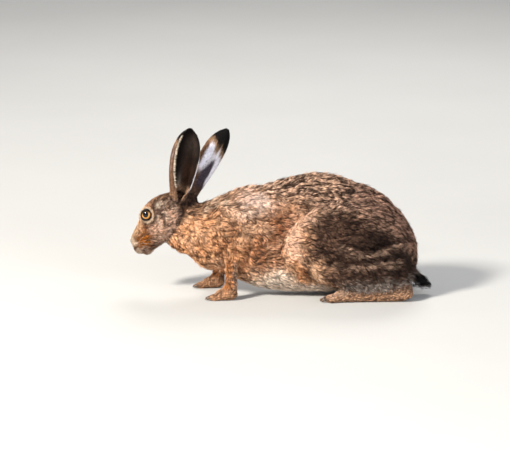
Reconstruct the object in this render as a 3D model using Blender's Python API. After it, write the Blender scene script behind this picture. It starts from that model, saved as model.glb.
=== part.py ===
"""Brown hare, crouched to feed, as a still, life-size model.

Units in the numbers below are millimetres; meshes are made in metres.
The hare faces -X, its left side faces -Y, and its feet stand on z = 0.
Flesh is modelled as rounded blanks that are blended, then parted by thin cuts
into the pieces a person would name, with a gap of 0.3 mm between them.
"""

import math

import bmesh
import bpy
import numpy as np
from mathutils import Euler, Matrix, Vector

MM = 0.001
GAP = 0.3
SIDES = {"left": -1.0, "right": 1.0}

# Head: its own frame starts at the tip of the nose, +X runs back to the nape.
NOSE_TIP = Vector((-218.5, 17.0, 78.0))
HEAD_PITCH = math.radians(43.0)
HEAD_TURN = math.radians(15.0)

# Eye: ball and the opening between the lids, in the head's frame.
EYE_RADIUS = 10.0
EYE_BACK = 55.0
EYE_UP = 11.5
EYE_OUT = 14.6
LID_RADIUS = 8.3
LID_THICKNESS = 1.5
LID_PROUD = 0.3

# Ears: root, tip and the way that the cup opens, in the model's frame.
EAR_ROOT = {"left": (-149.0, -8.0, 139.0), "right": (-133.0, 12.0, 135.0)}
EAR_TIP = {"left": (-126.5, -21.0, 259.0), "right": (-70.5, 31.0, 247.0)}
EAR_OPENS = {"left": (0.22, -0.95, 0.10), "right": (-0.62, 0.76, 0.20)}
EAR_THICKNESS = 2.4
EAR_TAPER = 0.35
EAR_BEND = math.radians(52.0)

# Limbs: places along the body and out from its middle.
FOOT_OUT = 47.0
FORELEG_OUT = 39.0
FORELEG_LEAD = {"left": 0.0, "right": 20.0}
TOES = 4

# Cuts between the trunk's pieces: how deep they start and where they end.
THIGH_DEPTH = 27.0
SHOULDER_DEPTH = 28.0
CUT_REACH = 140.0

# Fineness of the faceted blanks.
BODY_VOXEL = 3.6
HEAD_VOXEL = 1.7
TRUNK_SMOOTHING = 7
HEAD_SMOOTHING = 6
BODY_TRIANGLES = 3400
HEAD_TRIANGLES = 2300
CREASE_ANGLE = math.radians(50.0)

# Plain colours of the coat and eyes.
TAWNY = (0.36, 0.19, 0.09)
GRIZZLED = (0.22, 0.14, 0.09)
DARK = (0.03, 0.025, 0.022)
AMBER = (0.35, 0.16, 0.03)

# Rows of the trunk from throat to rump:
# x, middle y, top, bottom, half width, level of the widest point (0 bottom, 1 top).
TRUNK_ROWS = [
    (-170, 5, 120, 82, 14, 0.50),
    (-152, 4, 137, 67, 27, 0.50),
    (-130, 2, 140, 58, 33, 0.48),
    (-108, 0, 142, 45, 38, 0.46),
    (-82, 0, 152, 33, 44, 0.45),
    (-48, 0, 167, 20, 48, 0.44),
    (-16, 0, 170, 9, 48, 0.42),
    (22, 0, 180, 5, 48, 0.40),
    (66, 0, 189, 5, 52, 0.40),
    (116, 0, 175, 8, 57, 0.42),
    (158, 0, 156, 14, 54, 0.42),
    (190, 0, 125, 22, 43, 0.45),
    (207, 0, 97, 32, 30, 0.48),
    (214, 0, 80, 46, 14, 0.50),
]

# Rows of the head from nose to nape, in its own frame:
# x, top, bottom, half width, level of the widest point, sharpness of the top.
HEAD_ROWS = [
    (0.5, -1, -17, 8, 0.50, 0.9),
    (4, 2.5, -25, 13.5, 0.45, 0.9),
    (11, 5.5, -31, 16.5, 0.42, 1.0),
    (22, 9.5, -35, 18.5, 0.42, 1.0),
    (35, 15, -37, 21, 0.44, 0.95),
    (47, 21, -38, 22.5, 0.50, 0.88),
    (58, 24.5, -37, 24, 0.52, 0.85),
    (72, 24.5, -35, 26, 0.50, 0.9),
    (88, 20, -31, 26.5, 0.48, 1.0),
    (104, 11, -23, 23, 0.50, 1.0),
    (116, 0, -12, 13, 0.50, 1.0),
]


def spline(rows, t):
    """Smooth curve through the rows, t from 0 to 1."""
    table = np.array(rows, dtype=float)
    place = min(max(t, 0.0), 1.0) * (len(table) - 1)
    i = min(int(place), len(table) - 2)
    f = place - i
    before = table[max(i - 1, 0)]
    here, after = table[i], table[i + 1]
    beyond = table[min(i + 2, len(table) - 1)]
    slope_a = (after - before) / 2.0
    slope_b = (beyond - here) / 2.0
    return (
        (2 * f**3 - 3 * f**2 + 1) * here
        + (f**3 - 2 * f**2 + f) * slope_a
        + (3 * f**2 - 2 * f**3) * after
        + (f**3 - f**2) * slope_b
    )


def signed_power(value, power):
    return math.copysign(abs(value) ** power, value)


def section_ring(x, y, top, bottom, half, level, sharp, sides):
    """One ring across the length, widest at a level and narrower towards the top."""
    wide = bottom + (top - bottom) * level
    ring = []
    for k in range(sides):
        angle = 2 * math.pi * k / sides
        across, up = math.cos(angle), math.sin(angle)
        reach = top - wide if up > 0 else wide - bottom
        power = sharp if up > 0 else 0.9
        ring.append(Vector((x, y + half * signed_power(across, power), wide + reach * up)))
    return ring


def path_ring(centre, along, side, half_width, half_height, sides):
    """One ring at right angles to a path."""
    up = along.cross(side).normalized()
    flat = up.cross(along).normalized()
    return [
        centre
        + flat * half_width * math.cos(2 * math.pi * k / sides)
        + up * half_height * math.sin(2 * math.pi * k / sides)
        for k in range(sides)
    ]


def mesh_object(name, bm):
    bmesh.ops.recalc_face_normals(bm, faces=bm.faces)
    mesh = bpy.data.meshes.new(name)
    bm.to_mesh(mesh)
    bm.free()
    obj = bpy.data.objects.new(name, mesh)
    bpy.context.collection.objects.link(obj)
    return obj


def loft(name, rings, frame=None):
    """Closed skin over rings of points in millimetres."""
    bm = bmesh.new()
    place = frame if frame is not None else Matrix.Identity(4)
    loops = [[bm.verts.new(place @ (point * MM)) for point in ring] for ring in rings]
    for first, second in zip(loops, loops[1:]):
        for k in range(len(first)):
            n = (k + 1) % len(first)
            bm.faces.new((first[k], first[n], second[n], second[k]))
    bm.faces.new(loops[0])
    bm.faces.new(loops[-1])
    return mesh_object(name, bm)


def limb(name, rows, side=(0, 1, 0), rings=10, sides=16, frame=None):
    """Tube through rows of x, y, z, half width and half height, with flat ends."""
    lateral = Vector(side)
    made = []
    step = 0.5 / rings
    for k in range(rings + 1):
        t = k / rings
        row = spline(rows, t)
        ahead, behind = spline(rows, t + step), spline(rows, t - step)
        along = Vector((ahead - behind)[:3]).normalized()
        made.append(path_ring(Vector(row[:3]), along, lateral, row[3], row[4], sides))
    return loft(name, made, frame)


def ellipsoid(name, centre, radii, turn=(0, 0, 0), frame=None, segments=32, rows=20):
    bm = bmesh.new()
    bmesh.ops.create_uvsphere(bm, u_segments=segments, v_segments=rows, radius=1.0)
    place = Matrix.Translation(Vector(centre) * MM)
    place = place @ Euler([math.radians(a) for a in turn]).to_matrix().to_4x4()
    place = place @ Matrix.Diagonal((*(r * MM for r in radii), 1.0))
    if frame is not None:
        place = frame @ place
    bmesh.ops.transform(bm, matrix=place, verts=bm.verts)
    return mesh_object(name, bm)


def block(name, low, high, turn=(0, 0, 0), pivot=(0, 0, 0), frame=None):
    """Box between two corners, turned about a pivot."""
    bm = bmesh.new()
    bmesh.ops.create_cube(bm, size=1.0)
    size = [(b - a) * MM for a, b in zip(low, high)]
    middle = Vector([(a + b) * MM / 2 for a, b in zip(low, high)])
    about = Vector(pivot) * MM
    place = Matrix.Translation(about)
    place = place @ Euler([math.radians(a) for a in turn]).to_matrix().to_4x4()
    place = place @ Matrix.Translation(middle - about) @ Matrix.Diagonal((*size, 1.0))
    if frame is not None:
        place = frame @ place
    bmesh.ops.transform(bm, matrix=place, verts=bm.verts)
    return mesh_object(name, bm)


def settle(obj):
    """Apply the modifiers of an object."""
    graph = bpy.context.evaluated_depsgraph_get()
    mesh = bpy.data.meshes.new_from_object(obj.evaluated_get(graph))
    obj.modifiers.clear()
    obj.data = mesh
    return obj


def remove(*objects):
    for obj in objects:
        bpy.data.objects.remove(obj, do_unlink=True)


def combine(obj, operation, others, solver="EXACT"):
    """Boolean of an object with a list of others, which are used up."""
    group = bpy.data.collections.new("operands")
    for other in others:
        group.objects.link(other)
    cut = obj.modifiers.new(operation.lower(), "BOOLEAN")
    cut.operation = operation
    cut.operand_type = "COLLECTION"
    cut.collection = group
    cut.solver = solver
    settle(obj)
    remove(*others)
    bpy.data.collections.remove(group)
    return obj


def intersect(obj, other):
    cut = obj.modifiers.new("intersect", "BOOLEAN")
    cut.operation = "INTERSECT"
    cut.object = other
    cut.solver = "EXACT"
    settle(obj)
    remove(other)
    return obj


def duplicate(obj, name):
    twin = bpy.data.objects.new(name, obj.data.copy())
    bpy.context.collection.objects.link(twin)
    return twin


def grown(obj, by=GAP):
    """Copy of an object pushed out along its normals."""
    twin = duplicate(obj, "grown")
    push = twin.modifiers.new("push", "DISPLACE")
    push.strength = by * MM
    push.mid_level = 0.0
    return settle(twin)


def keep_largest(obj):
    """Leave only the closed surface with the largest volume."""
    bm = bmesh.new()
    bm.from_mesh(obj.data)
    bm.faces.ensure_lookup_table()
    unseen = set(bm.faces)
    islands = []
    while unseen:
        island, queue = set(), [unseen.pop()]
        while queue:
            face = queue.pop()
            island.add(face)
            for edge in face.edges:
                for near in edge.link_faces:
                    if near in unseen:
                        unseen.discard(near)
                        queue.append(near)
        islands.append(island)
    islands.sort(key=signed_volume)
    scraps = [face for island in islands[:-1] for face in island]
    bmesh.ops.delete(bm, geom=scraps, context="FACES")
    loose = [vert for vert in bm.verts if not vert.link_faces]
    bmesh.ops.delete(bm, geom=loose, context="VERTS")
    bm.to_mesh(obj.data)
    bm.free()
    return obj


def signed_volume(faces):
    total = 0.0
    for face in faces:
        corners = [vert.co for vert in face.verts]
        for b, c in zip(corners[1:], corners[2:]):
            total += corners[0].dot(b.cross(c)) / 6.0
    return total


def blend(obj, voxel, smoothing, triangles):
    """Fuse the blank into one soft skin, then thin it to a number of triangles."""
    fuse = obj.modifiers.new("fuse", "REMESH")
    fuse.mode = "VOXEL"
    fuse.voxel_size = voxel * MM
    soften = obj.modifiers.new("soften", "SMOOTH")
    soften.factor = 0.5
    soften.iterations = smoothing
    settle(obj)
    faces = sum(len(polygon.vertices) - 2 for polygon in obj.data.polygons)
    thin = obj.modifiers.new("thin", "DECIMATE")
    thin.ratio = min(1.0, triangles / faces)
    return settle(obj)


def finish(obj, material):
    """Facets that the build reads, smooth shading and one material."""
    bm = bmesh.new()
    bm.from_mesh(obj.data)
    bmesh.ops.triangulate(bm, faces=bm.faces)
    bm.to_mesh(obj.data)
    bm.free()
    obj.data.shade_smooth()
    obj.data.set_sharp_from_angle(angle=CREASE_ANGLE)
    obj.data.materials.clear()
    obj.data.materials.append(material)
    return obj


def make_material(name, colour, roughness):
    material = bpy.data.materials.new(name)
    material.use_nodes = True
    shader = material.node_tree.nodes["Principled BSDF"]
    shader.inputs["Base Color"].default_value = (*colour, 1.0)
    shader.inputs["Roughness"].default_value = roughness
    shader.inputs["Metallic"].default_value = 0.0
    return material


def head_frame():
    """Place of the head's own frame, nose tip first."""
    turn = Euler((0.0, -HEAD_PITCH, -HEAD_TURN)).to_matrix().to_4x4()
    return Matrix.Translation(NOSE_TIP * MM) @ turn


def make_trunk():
    """Neck, chest, belly and rump with the breast, shoulders and haunches on it."""
    rings = []
    count = 40
    for k in range(count + 1):
        x, y, top, bottom, half, level = spline(TRUNK_ROWS, k / count)
        rings.append(section_ring(x, y, top, bottom, half, level, 1.0, 36))
    trunk = loft("trunk", rings)
    parts = [ellipsoid("breast", (-90, 0, 80), (36, 38, 44), turn=(0, 25, 0))]
    for sign in SIDES.values():
        parts.append(ellipsoid("shoulder", (-64, sign * 33, 106), (38, 18, 50), turn=(0, 22, 0)))
        parts.append(ellipsoid("elbow", (-58, sign * 39, 88), (20, 15, 24), turn=(0, -15, 0)))
        parts.append(ellipsoid("haunch", (107, sign * 40, 91), (91, 27, 58), turn=(0, 4, 0)))
        parts.append(ellipsoid("knee", (60, sign * 42, 72), (38, 22, 38), turn=(0, 20, 0)))
        shank = [
            (66, sign * 45, 56, 20, 26),
            (112, sign * 47, 44, 20, 30),
            (160, sign * 46, 42, 18, 30),
            (198, sign * 42, 42, 13, 24),
        ]
        parts.append(limb("shank", shank))
    combine(trunk, "UNION", parts, solver="MANIFOLD")
    return blend(trunk, BODY_VOXEL, TRUNK_SMOOTHING, BODY_TRIANGLES)


def make_head(frame):
    """Skull, cheeks, brows, whisker pads and chin, then lids, nostrils and mouth."""
    rings = []
    count = 30
    for k in range(count + 1):
        x, top, bottom, half, level, sharp = spline(HEAD_ROWS, k / count)
        rings.append(section_ring(x, 0, top, bottom, half, level, sharp, 36))
    head = loft("head", rings, frame)
    parts = [ellipsoid("chin", (13, 0, -29.5), (10, 8, 7), frame=frame)]
    parts.append(ellipsoid("forehead", (64, 0, 12), (27, 22, 12.5), turn=(0, 3, 0), frame=frame))
    for sign in SIDES.values():
        parts.append(ellipsoid("pad", (8, sign * 6.5, -18), (11, 9.5, 10.5), frame=frame))
        parts.append(ellipsoid("cheek", (64, sign * 14, -14), (32, 13, 21), frame=frame))
        parts.append(ellipsoid("orbit", (58, sign * 13, 11), (18, 8.0, 13.5), frame=frame))
    parts += [ear_stump(side) for side in SIDES]
    combine(head, "UNION", parts, solver="MANIFOLD")
    blend(head, HEAD_VOXEL, HEAD_SMOOTHING, HEAD_TRIANGLES)
    carve_face(head, frame)
    return head


def ear_stump(side):
    """Muscled foot of an ear, rising from the skull."""
    root, tip = Vector(EAR_ROOT[side]), Vector(EAR_TIP[side])
    axis = (tip - root).normalized()
    along = ((-14, 10), (-2, 15), (10, 14.5), (19, 10))
    rows = [(*(root + axis * far), radius, radius) for far, radius in along]
    return limb("stump", rows, rings=6, sides=20)


def carve_face(head, frame):
    """Lids round the eyes, nostrils, cleft lip and the line of the mouth."""
    lids = []
    cuts = []
    for sign in SIDES.values():
        lids.append(lid_ring("lid", sign, frame))
        cuts.append(eyeball("socket", sign, frame, EYE_RADIUS + GAP))
        cuts.append(ellipsoid(
            "nostril", (2.0, sign * 4.6, -4.5), (4.5, 1.3, 3.0), turn=(sign * 35, 0, sign * -25),
            frame=frame, segments=8, rows=6,
        ))
        cuts.append(mouth_cut(sign, frame))
    combine(head, "UNION", lids)
    cuts.append(block("cleft", (-6, -0.6, -22), (5.5, 0.6, -9), turn=(0, -8, 0), frame=frame))
    combine(head, "DIFFERENCE", cuts)
    keep_largest(head)


def eyeball(name, sign, frame, radius):
    centre = (EYE_BACK, sign * EYE_OUT, EYE_UP)
    return ellipsoid(name, centre, (radius, radius, radius), turn=(90, 0, 0), frame=frame,
                     segments=16, rows=10)


def lid_ring(name, sign, frame):
    """Rim of the lids: an almond ring that lies on the ball."""
    around, across = 18, 5
    bm = bmesh.new()
    loops = []
    for k in range(around):
        angle = 2 * math.pi * k / around
        stretch = 1.0 + 0.16 * max(0.0, math.cos(angle - math.radians(20))) ** 6
        radius = LID_RADIUS * stretch
        out = math.sqrt(EYE_RADIUS**2 - min(radius, EYE_RADIUS - LID_THICKNESS) ** 2)
        loop = []
        for j in range(across):
            turn = 2 * math.pi * j / across
            reach = radius + LID_THICKNESS * math.cos(turn)
            side = EYE_OUT + out + LID_PROUD + LID_THICKNESS * math.sin(turn)
            point = Vector((
                EYE_BACK + reach * math.cos(angle),
                sign * side,
                EYE_UP + reach * math.sin(angle),
            ))
            loop.append(bm.verts.new(frame @ (point * MM)))
        loops.append(loop)
    for k in range(around):
        first, second = loops[k], loops[(k + 1) % around]
        for j in range(across):
            n = (j + 1) % across
            bm.faces.new((first[j], first[n], second[n], second[j]))
    return mesh_object(name, bm)


def mouth_cut(sign, frame):
    """Thin blade along the line where the lips meet."""
    rows = [
        (-3, sign * 2, -22.5, 5.0, 0.5),
        (7, sign * 10, -24.5, 5.0, 0.5),
        (16, sign * 15, -27.0, 4.0, 0.5),
        (24, sign * 18, -27.5, 2.0, 0.4),
    ]
    return limb("mouth", rows, rings=4, sides=6, frame=frame)


def ear_rows():
    """Along the ear: share of its length, half width, how far the bowl wraps at the
    rear and the rim curls in at the front, and the radius of that curl."""
    return [
        (0.00, 9.0, 165.0, 172.0, 9.0),
        (0.16, 13.5, 150.0, 168.0, 11.5),
        (0.30, 17.5, 100.0, 160.0, 9.0),
        (0.46, 21.0, 80.0, 152.0, 8.0),
        (0.64, 22.5, 72.0, 146.0, 7.5),
        (0.80, 20.0, 66.0, 140.0, 6.0),
        (0.92, 13.5, 60.0, 130.0, 4.0),
        (1.00, 3.5, 50.0, 100.0, 2.0),
    ]


def ear_section(half, bowl, wrap, curl, count):
    """Outline across an ear, as (towards the front, towards the opening) pairs.

    It is walked by the direction it faces: from the rear rim through the bowl
    to the front rim, which curls in with a smaller radius.
    """
    start, end = -math.radians(bowl), math.radians(wrap)
    turn = (end - start) / (count - 1)
    points = [Vector((0.0, 0.0))]
    facing = [start]
    for k in range(1, count):
        angle = start + turn * k
        middle = angle - turn / 2
        radius = half if middle < EAR_BEND else curl
        step = Vector((math.cos(middle), math.sin(middle))) * radius * turn
        points.append(points[-1] + step)
        facing.append(angle)
    low = min(point.x for point in points)
    high = max(point.x for point in points)
    deep = min(point.y for point in points)
    scale = 2 * half / (high - low)
    middle = (low + high) / 2
    return [
        (Vector(((p.x - middle) * scale, (p.y - deep) * scale)), a)
        for p, a in zip(points, facing)
    ]


def make_ear(name, side):
    """Cupped shell: a back and a lining between two rims, root to tip."""
    root, tip = Vector(EAR_ROOT[side]), Vector(EAR_TIP[side])
    axis = (tip - root).normalized()
    opening = Vector(EAR_OPENS[side])
    opening = (opening - axis * opening.dot(axis)).normalized()
    front = opening.cross(axis) if side == "left" else axis.cross(opening)
    length = (tip - root).length
    lengths, widths = 11, 12
    bm = bmesh.new()
    back, lining = [], []
    for k in range(lengths + 1):
        share, half, bowl, wrap, curl = spline(ear_rows(), k / lengths)
        thick = EAR_THICKNESS * (1.0 - EAR_TAPER * share)
        centre = root + axis * length * share - opening * half * 0.5
        outer, inner = [], []
        for point, angle in ear_section(half, bowl, wrap, curl, widths):
            place = centre + front * point.x + opening * point.y
            inward = -front * math.sin(angle) + opening * math.cos(angle)
            outer.append(bm.verts.new(place * MM))
            inner.append(bm.verts.new((place + inward * thick) * MM))
        back.append(outer)
        lining.append(inner)
    for sheet in (back, lining):
        for first, second in zip(sheet, sheet[1:]):
            for j in range(widths - 1):
                bm.faces.new((first[j], first[j + 1], second[j + 1], second[j]))
    for k in range(lengths):
        for j in (0, widths - 1):
            bm.faces.new((back[k][j], back[k + 1][j], lining[k + 1][j], lining[k][j]))
    for k in (0, lengths):
        for j in range(widths - 1):
            bm.faces.new((back[k][j], back[k][j + 1], lining[k][j + 1], lining[k][j]))
    return mesh_object(name, bm)


def add_toes(foot, tip, out, spread, length, radius):
    """Toes side by side at the front of a foot, each with a short claw."""
    parts = []
    for k in range(TOES):
        place = (k - (TOES - 1) / 2) / ((TOES - 1) / 2)
        forward = tip - length * 0.42 * (1.0 - 0.35 * abs(place))
        centre = (forward, out + place * spread, radius * 0.82)
        turn = (0, 0, -place * 8)
        parts.append(ellipsoid("toe", centre, (length * 0.6, radius, radius), turn=turn,
                               segments=7, rows=5))
        end = forward - length * 0.52
        claw = [
            (end + 3.0, centre[1], radius * 0.9, 1.7, 1.5),
            (end - 2.5, centre[1] - place * 0.4, radius * 0.8, 1.3, 1.3),
            (end - 6.5, centre[1] - place * 0.8, radius * 0.35, 0.45, 0.45),
        ]
        parts.append(limb("claw", claw, rings=2, sides=5))
    return combine(foot, "UNION", parts)


def make_hind_foot(name, sign):
    """Long hind foot, flat on the ground from heel to toes."""
    out = sign * FOOT_OUT
    rows = [
        (207, out, 15, 7, 9),
        (198, out, 14, 11.5, 14),
        (172, out, 11, 12, 12),
        (125, out + sign * 1.5, 9, 12, 10.5),
        (98, out + sign * 2.5, 8, 13.5, 9),
        (88, out + sign * 3, 7, 11, 7),
    ]
    foot = limb(name, rows, rings=8, sides=10)
    return add_toes(foot, 92, out + sign * 3, 9.5, 22, 5.6)


def foreleg_rows(sign, lead):
    out = sign * FORELEG_OUT
    return [
        (-60 - lead * 0.6, out, 104, 11, 15),
        (-63 - lead * 0.85, out, 78, 9.5, 11.5),
        (-65 - lead, out, 48, 9, 9.5),
        (-65 - lead, out, 26, 10, 10.5),
        (-68 - lead, out, 8, 9, 10),
    ]


def make_forepaw(name, sign, lead):
    """Forepaw, flat on the ground, toes forward."""
    out = sign * FORELEG_OUT
    rows = [
        (-56 - lead, out, 12, 7, 8),
        (-64 - lead, out, 11, 10.5, 11.5),
        (-78 - lead, out, 8.5, 11.5, 9.5),
        (-88 - lead, out, 7, 10, 7),
    ]
    paw = limb(name, rows, rings=5, sides=10)
    return add_toes(paw, -86 - lead, out, 7.5, 16, 4.6)


def make_tail(name):
    """Short tail, laid out behind just clear of the ground."""
    rows = [
        (188, 0, 42, 12, 12),
        (204, -1, 29, 14, 12),
        (217, -2, 17, 14, 11),
        (228, -3, 12.5, 10, 8.5),
        (235, -4, 11, 4, 4),
    ]
    return limb(name, rows, rings=10, sides=12)


def thigh_cutter(sign, grow):
    """Upright oval drum that takes the haunch and shank off the side of the trunk."""
    drum = ellipse_drum((110, 74), (99 + grow, 80 + grow))
    return place_drum(drum, sign, THIGH_DEPTH - grow)


def arm_cutter(sign, grow):
    """Oval drum that takes the shoulder and upper arm off the side of the chest."""
    drum = ellipse_drum((-62, 98), (36 + grow, 44 + grow), lean=22)
    return place_drum(drum, sign, SHOULDER_DEPTH - grow)


def ellipse_drum(centre, radii, lean=0.0, count=36):
    """Corners of an oval in the side view."""
    tilt = math.radians(lean)
    corners = []
    for k in range(count):
        angle = 2 * math.pi * k / count
        along, up = radii[0] * math.cos(angle), radii[1] * math.sin(angle)
        corners.append((
            centre[0] + along * math.cos(tilt) + up * math.sin(tilt),
            centre[1] - along * math.sin(tilt) + up * math.cos(tilt),
        ))
    return corners


def place_drum(corners, sign, start):
    """Drum across the body, from a depth on one side outwards."""
    rings = [[Vector((x, sign * y, z)) for x, z in corners] for y in (start, CUT_REACH)]
    return loft("drum", rings)


def split_off(source, name, cutter, *args):
    """Part a named piece off the source, leaving the gap between the two."""
    piece = duplicate(source, name)
    intersect(piece, cutter(*args, 0.0))
    keep_largest(piece)
    combine(source, "DIFFERENCE", [cutter(*args, GAP)])
    keep_largest(source)
    return piece


def neck_cutter(grow):
    """Everything in front of the slanted plane between neck and chest."""
    return block("front", (-300, -120, -80), (-112 + grow, 120, 260), turn=(0, -18, 0),
                 pivot=(-112, 0, 100))


def shank_cutter(grow):
    """Everything under the slanted plane between thigh and shank."""
    return block("under", (-100, -140, -120), (340, 140, 50 + grow), turn=(0, 10, 0),
                 pivot=(60, 0, 50))


def level_feet(*objects):
    """Cut the soles off flat at the ground."""
    for obj in objects:
        combine(obj, "DIFFERENCE", [block("ground", (-400, -200, -80), (400, 200, 0))])
        keep_largest(obj)


def trim(obj, *neighbours):
    """Cut an object clear of its neighbours by the gap."""
    combine(obj, "DIFFERENCE", [grown(near) for near in neighbours])
    return keep_largest(obj)


def centre_on_floor(objects):
    """Move the origin to the middle of the model's box, at the ground."""
    corners = [vert.co for obj in objects for vert in obj.data.vertices]
    low = Vector([min(corner[axis] for corner in corners) for axis in range(3)])
    high = Vector([max(corner[axis] for corner in corners) for axis in range(3)])
    shift = Vector((-(low.x + high.x) / 2, -(low.y + high.y) / 2, -low.z))
    for obj in objects:
        obj.data.transform(Matrix.Translation(shift))


def main():
    for obj in list(bpy.data.objects):
        bpy.data.objects.remove(obj, do_unlink=True)
    frame = head_frame()
    trunk = make_trunk()
    head = make_head(frame)
    legs = []
    for side, sign in SIDES.items():
        foot = make_hind_foot(f"hind_foot_{side}", sign)
        lead = FORELEG_LEAD[side]
        foreleg = limb(f"forearm_{side}", foreleg_rows(sign, lead), rings=8, sides=12)
        paw = make_forepaw(f"forepaw_{side}", sign, lead)
        level_feet(foot, paw)
        trim(foot, trunk)
        trim(foreleg, trunk)
        combine(foreleg, "DIFFERENCE", [grown(paw)])
        keep_largest(foreleg)
        legs += [foot, foreleg, paw]
    tail = make_tail("tail")
    trim(tail, trunk)
    ears = []
    for side in SIDES:
        ears.append(trim(make_ear(f"ear_{side}", side), head))
    trim(trunk, head, *ears)
    for side, sign in SIDES.items():
        thigh = split_off(trunk, f"thigh_{side}", thigh_cutter, sign)
        shank = split_off(thigh, f"shank_{side}", shank_cutter)
        arm = split_off(trunk, f"shoulder_{side}", arm_cutter, sign)
        legs += [thigh, shank, arm]
    neck = split_off(trunk, "neck", neck_cutter)
    trunk.name = "torso"
    eyes = [eyeball(f"eye_{side}", sign, frame, EYE_RADIUS) for side, sign in SIDES.items()]

    tawny = make_material("tawny_coat", TAWNY, 0.9)
    grizzled = make_material("grizzled_coat", GRIZZLED, 0.9)
    dark = make_material("tail_coat", DARK, 0.85)
    amber = make_material("eye", AMBER, 0.08)
    for obj in [trunk, neck] + legs:
        finish(obj, tawny)
    for obj in [head] + ears:
        finish(obj, grizzled)
    finish(tail, dark)
    for obj in eyes:
        finish(obj, amber)
    centre_on_floor([trunk, neck, head, tail] + legs + ears + eyes)


main()
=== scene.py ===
"""Looks of the brown hare: skin, coat, ears, eyes, lids, whiskers and claws.

Lengths are in millimetres where a name or comment says so, and in metres otherwise.
The hare faces -X, its left side faces -Y, and it stands on z = 0.
"""
from contextlib import contextmanager
from math import ceil, cos, pi, radians, sin, sqrt

import bmesh
import bpy
import numpy as np
from mathutils import Euler, Matrix, Vector
from mathutils.bvhtree import BVHTree
from mathutils.kdtree import KDTree

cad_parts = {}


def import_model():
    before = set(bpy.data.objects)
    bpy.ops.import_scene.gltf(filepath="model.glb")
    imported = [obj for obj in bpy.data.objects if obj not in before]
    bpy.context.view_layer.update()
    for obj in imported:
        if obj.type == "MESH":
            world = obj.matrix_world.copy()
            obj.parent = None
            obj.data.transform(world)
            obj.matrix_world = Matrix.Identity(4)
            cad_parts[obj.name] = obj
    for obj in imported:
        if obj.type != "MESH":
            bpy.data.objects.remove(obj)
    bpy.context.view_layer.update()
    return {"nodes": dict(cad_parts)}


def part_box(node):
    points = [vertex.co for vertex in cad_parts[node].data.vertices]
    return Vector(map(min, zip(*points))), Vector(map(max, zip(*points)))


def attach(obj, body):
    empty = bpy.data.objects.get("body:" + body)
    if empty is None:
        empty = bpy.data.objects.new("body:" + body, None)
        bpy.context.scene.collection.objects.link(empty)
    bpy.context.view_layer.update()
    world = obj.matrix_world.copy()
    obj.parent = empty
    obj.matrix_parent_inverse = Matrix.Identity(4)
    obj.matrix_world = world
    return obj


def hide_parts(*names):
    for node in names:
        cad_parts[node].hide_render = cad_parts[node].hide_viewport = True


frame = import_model()

MM = 0.001
SIDES = {"left": -1.0, "right": 1.0}
PARTS = sorted(name for name in frame["nodes"] if not name.startswith("eye"))
rng = np.random.default_rng(7)

# Camera of the photograph: how high it looks from, the middle of its frame and the
# width of the frame there.
CAMERA_ELEVATION = radians(13.0)
CAMERA_TARGET = Vector((-0.039, 0.0, 0.106))
CAMERA_DISTANCE = 6.0
FRAME_WIDTH = 0.765

# Lamps: name, place, size, power and colour.
LAMPS = [
    ("key", (-1.95, -1.7, 1.9), 0.5, 196.0, (1.0, 0.95, 0.87)),
    ("fill", (1.6, -2.0, 1.1), 1.4, 38.0, (0.90, 0.94, 1.0)),
    ("rim", (0.2, 1.8, 1.9), 1.2, 36.0, (1.0, 0.98, 0.95)),
]
SKY, SKY_STRENGTH = (0.88, 0.92, 1.0, 1.0), 0.42

# Head: turn of its own frame, whose origin is the tip of the nose, and the place of
# the eyes in it, in mm.
HEAD_TURN = Euler((0.0, radians(-43.0), radians(-15.0)))
EYE_BACK, EYE_OUT, EYE_UP = 55.0, 14.6, 11.5

# Eye, in mm: ball, pupil, iris, dark rim, cornea and the inner and outer edge of the lids.
EYE_RADIUS = 10.0
PUPIL, IRIS, LIMBUS = 4.6, 6.3, 6.9
CORNEA_RADIUS, CORNEA_EDGE = 8.8, 7.1
LID_INNER, LID_OUTER = 6.9, 9.6
EYE_RINGS, EYE_AROUND = 40, 48
LID_AROUND, LID_ACROSS = 96, 12

# Ears: root and tip against the nose tip, the way that the cup opens, in mm, and the
# number of points along the shell and across it.
EAR_ROOT = {"left": (69.5, -25.0, 61.0), "right": (85.5, -5.0, 57.0)}
EAR_TIP = {"left": (92.0, -38.0, 181.0), "right": (148.0, 14.0, 169.0)}
EAR_OPENS = {"left": (0.22, -0.95, 0.10), "right": (-0.62, 0.76, 0.20)}
EAR_THICKNESS, EAR_TAPER, EAR_BEND = 1.7, 0.35, radians(52.0)
EAR_LENGTHS, EAR_WIDTHS = 72, 44

# Rows up the ear: share of its length, half width, degrees of the cup to the rear and
# to the front, and radius of the front curl.
EAR_ROWS = np.array([
    (0.00, 9.0, 165, 172, 9.0), (0.16, 13.5, 150, 168, 11.5), (0.30, 17.5, 100, 160, 9.0),
    (0.46, 21.0, 80, 152, 8.0), (0.64, 22.5, 72, 146, 7.5), (0.80, 20.0, 66, 140, 6.0),
    (0.92, 13.5, 60, 130, 4.0), (1.00, 3.5, 50, 100, 2.0),
])

# Skin: voxel in mm, rounds of smoothing, and how far back each step of the finer skin
# near the nose goes, in mm.
SKIN_VOXEL = 1.5
BODY_ROUNDS, HEAD_ROUNDS, MUZZLE_ROUNDS = 18, 5, 3
FINE_STEPS = (36.0, 20.0)

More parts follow.
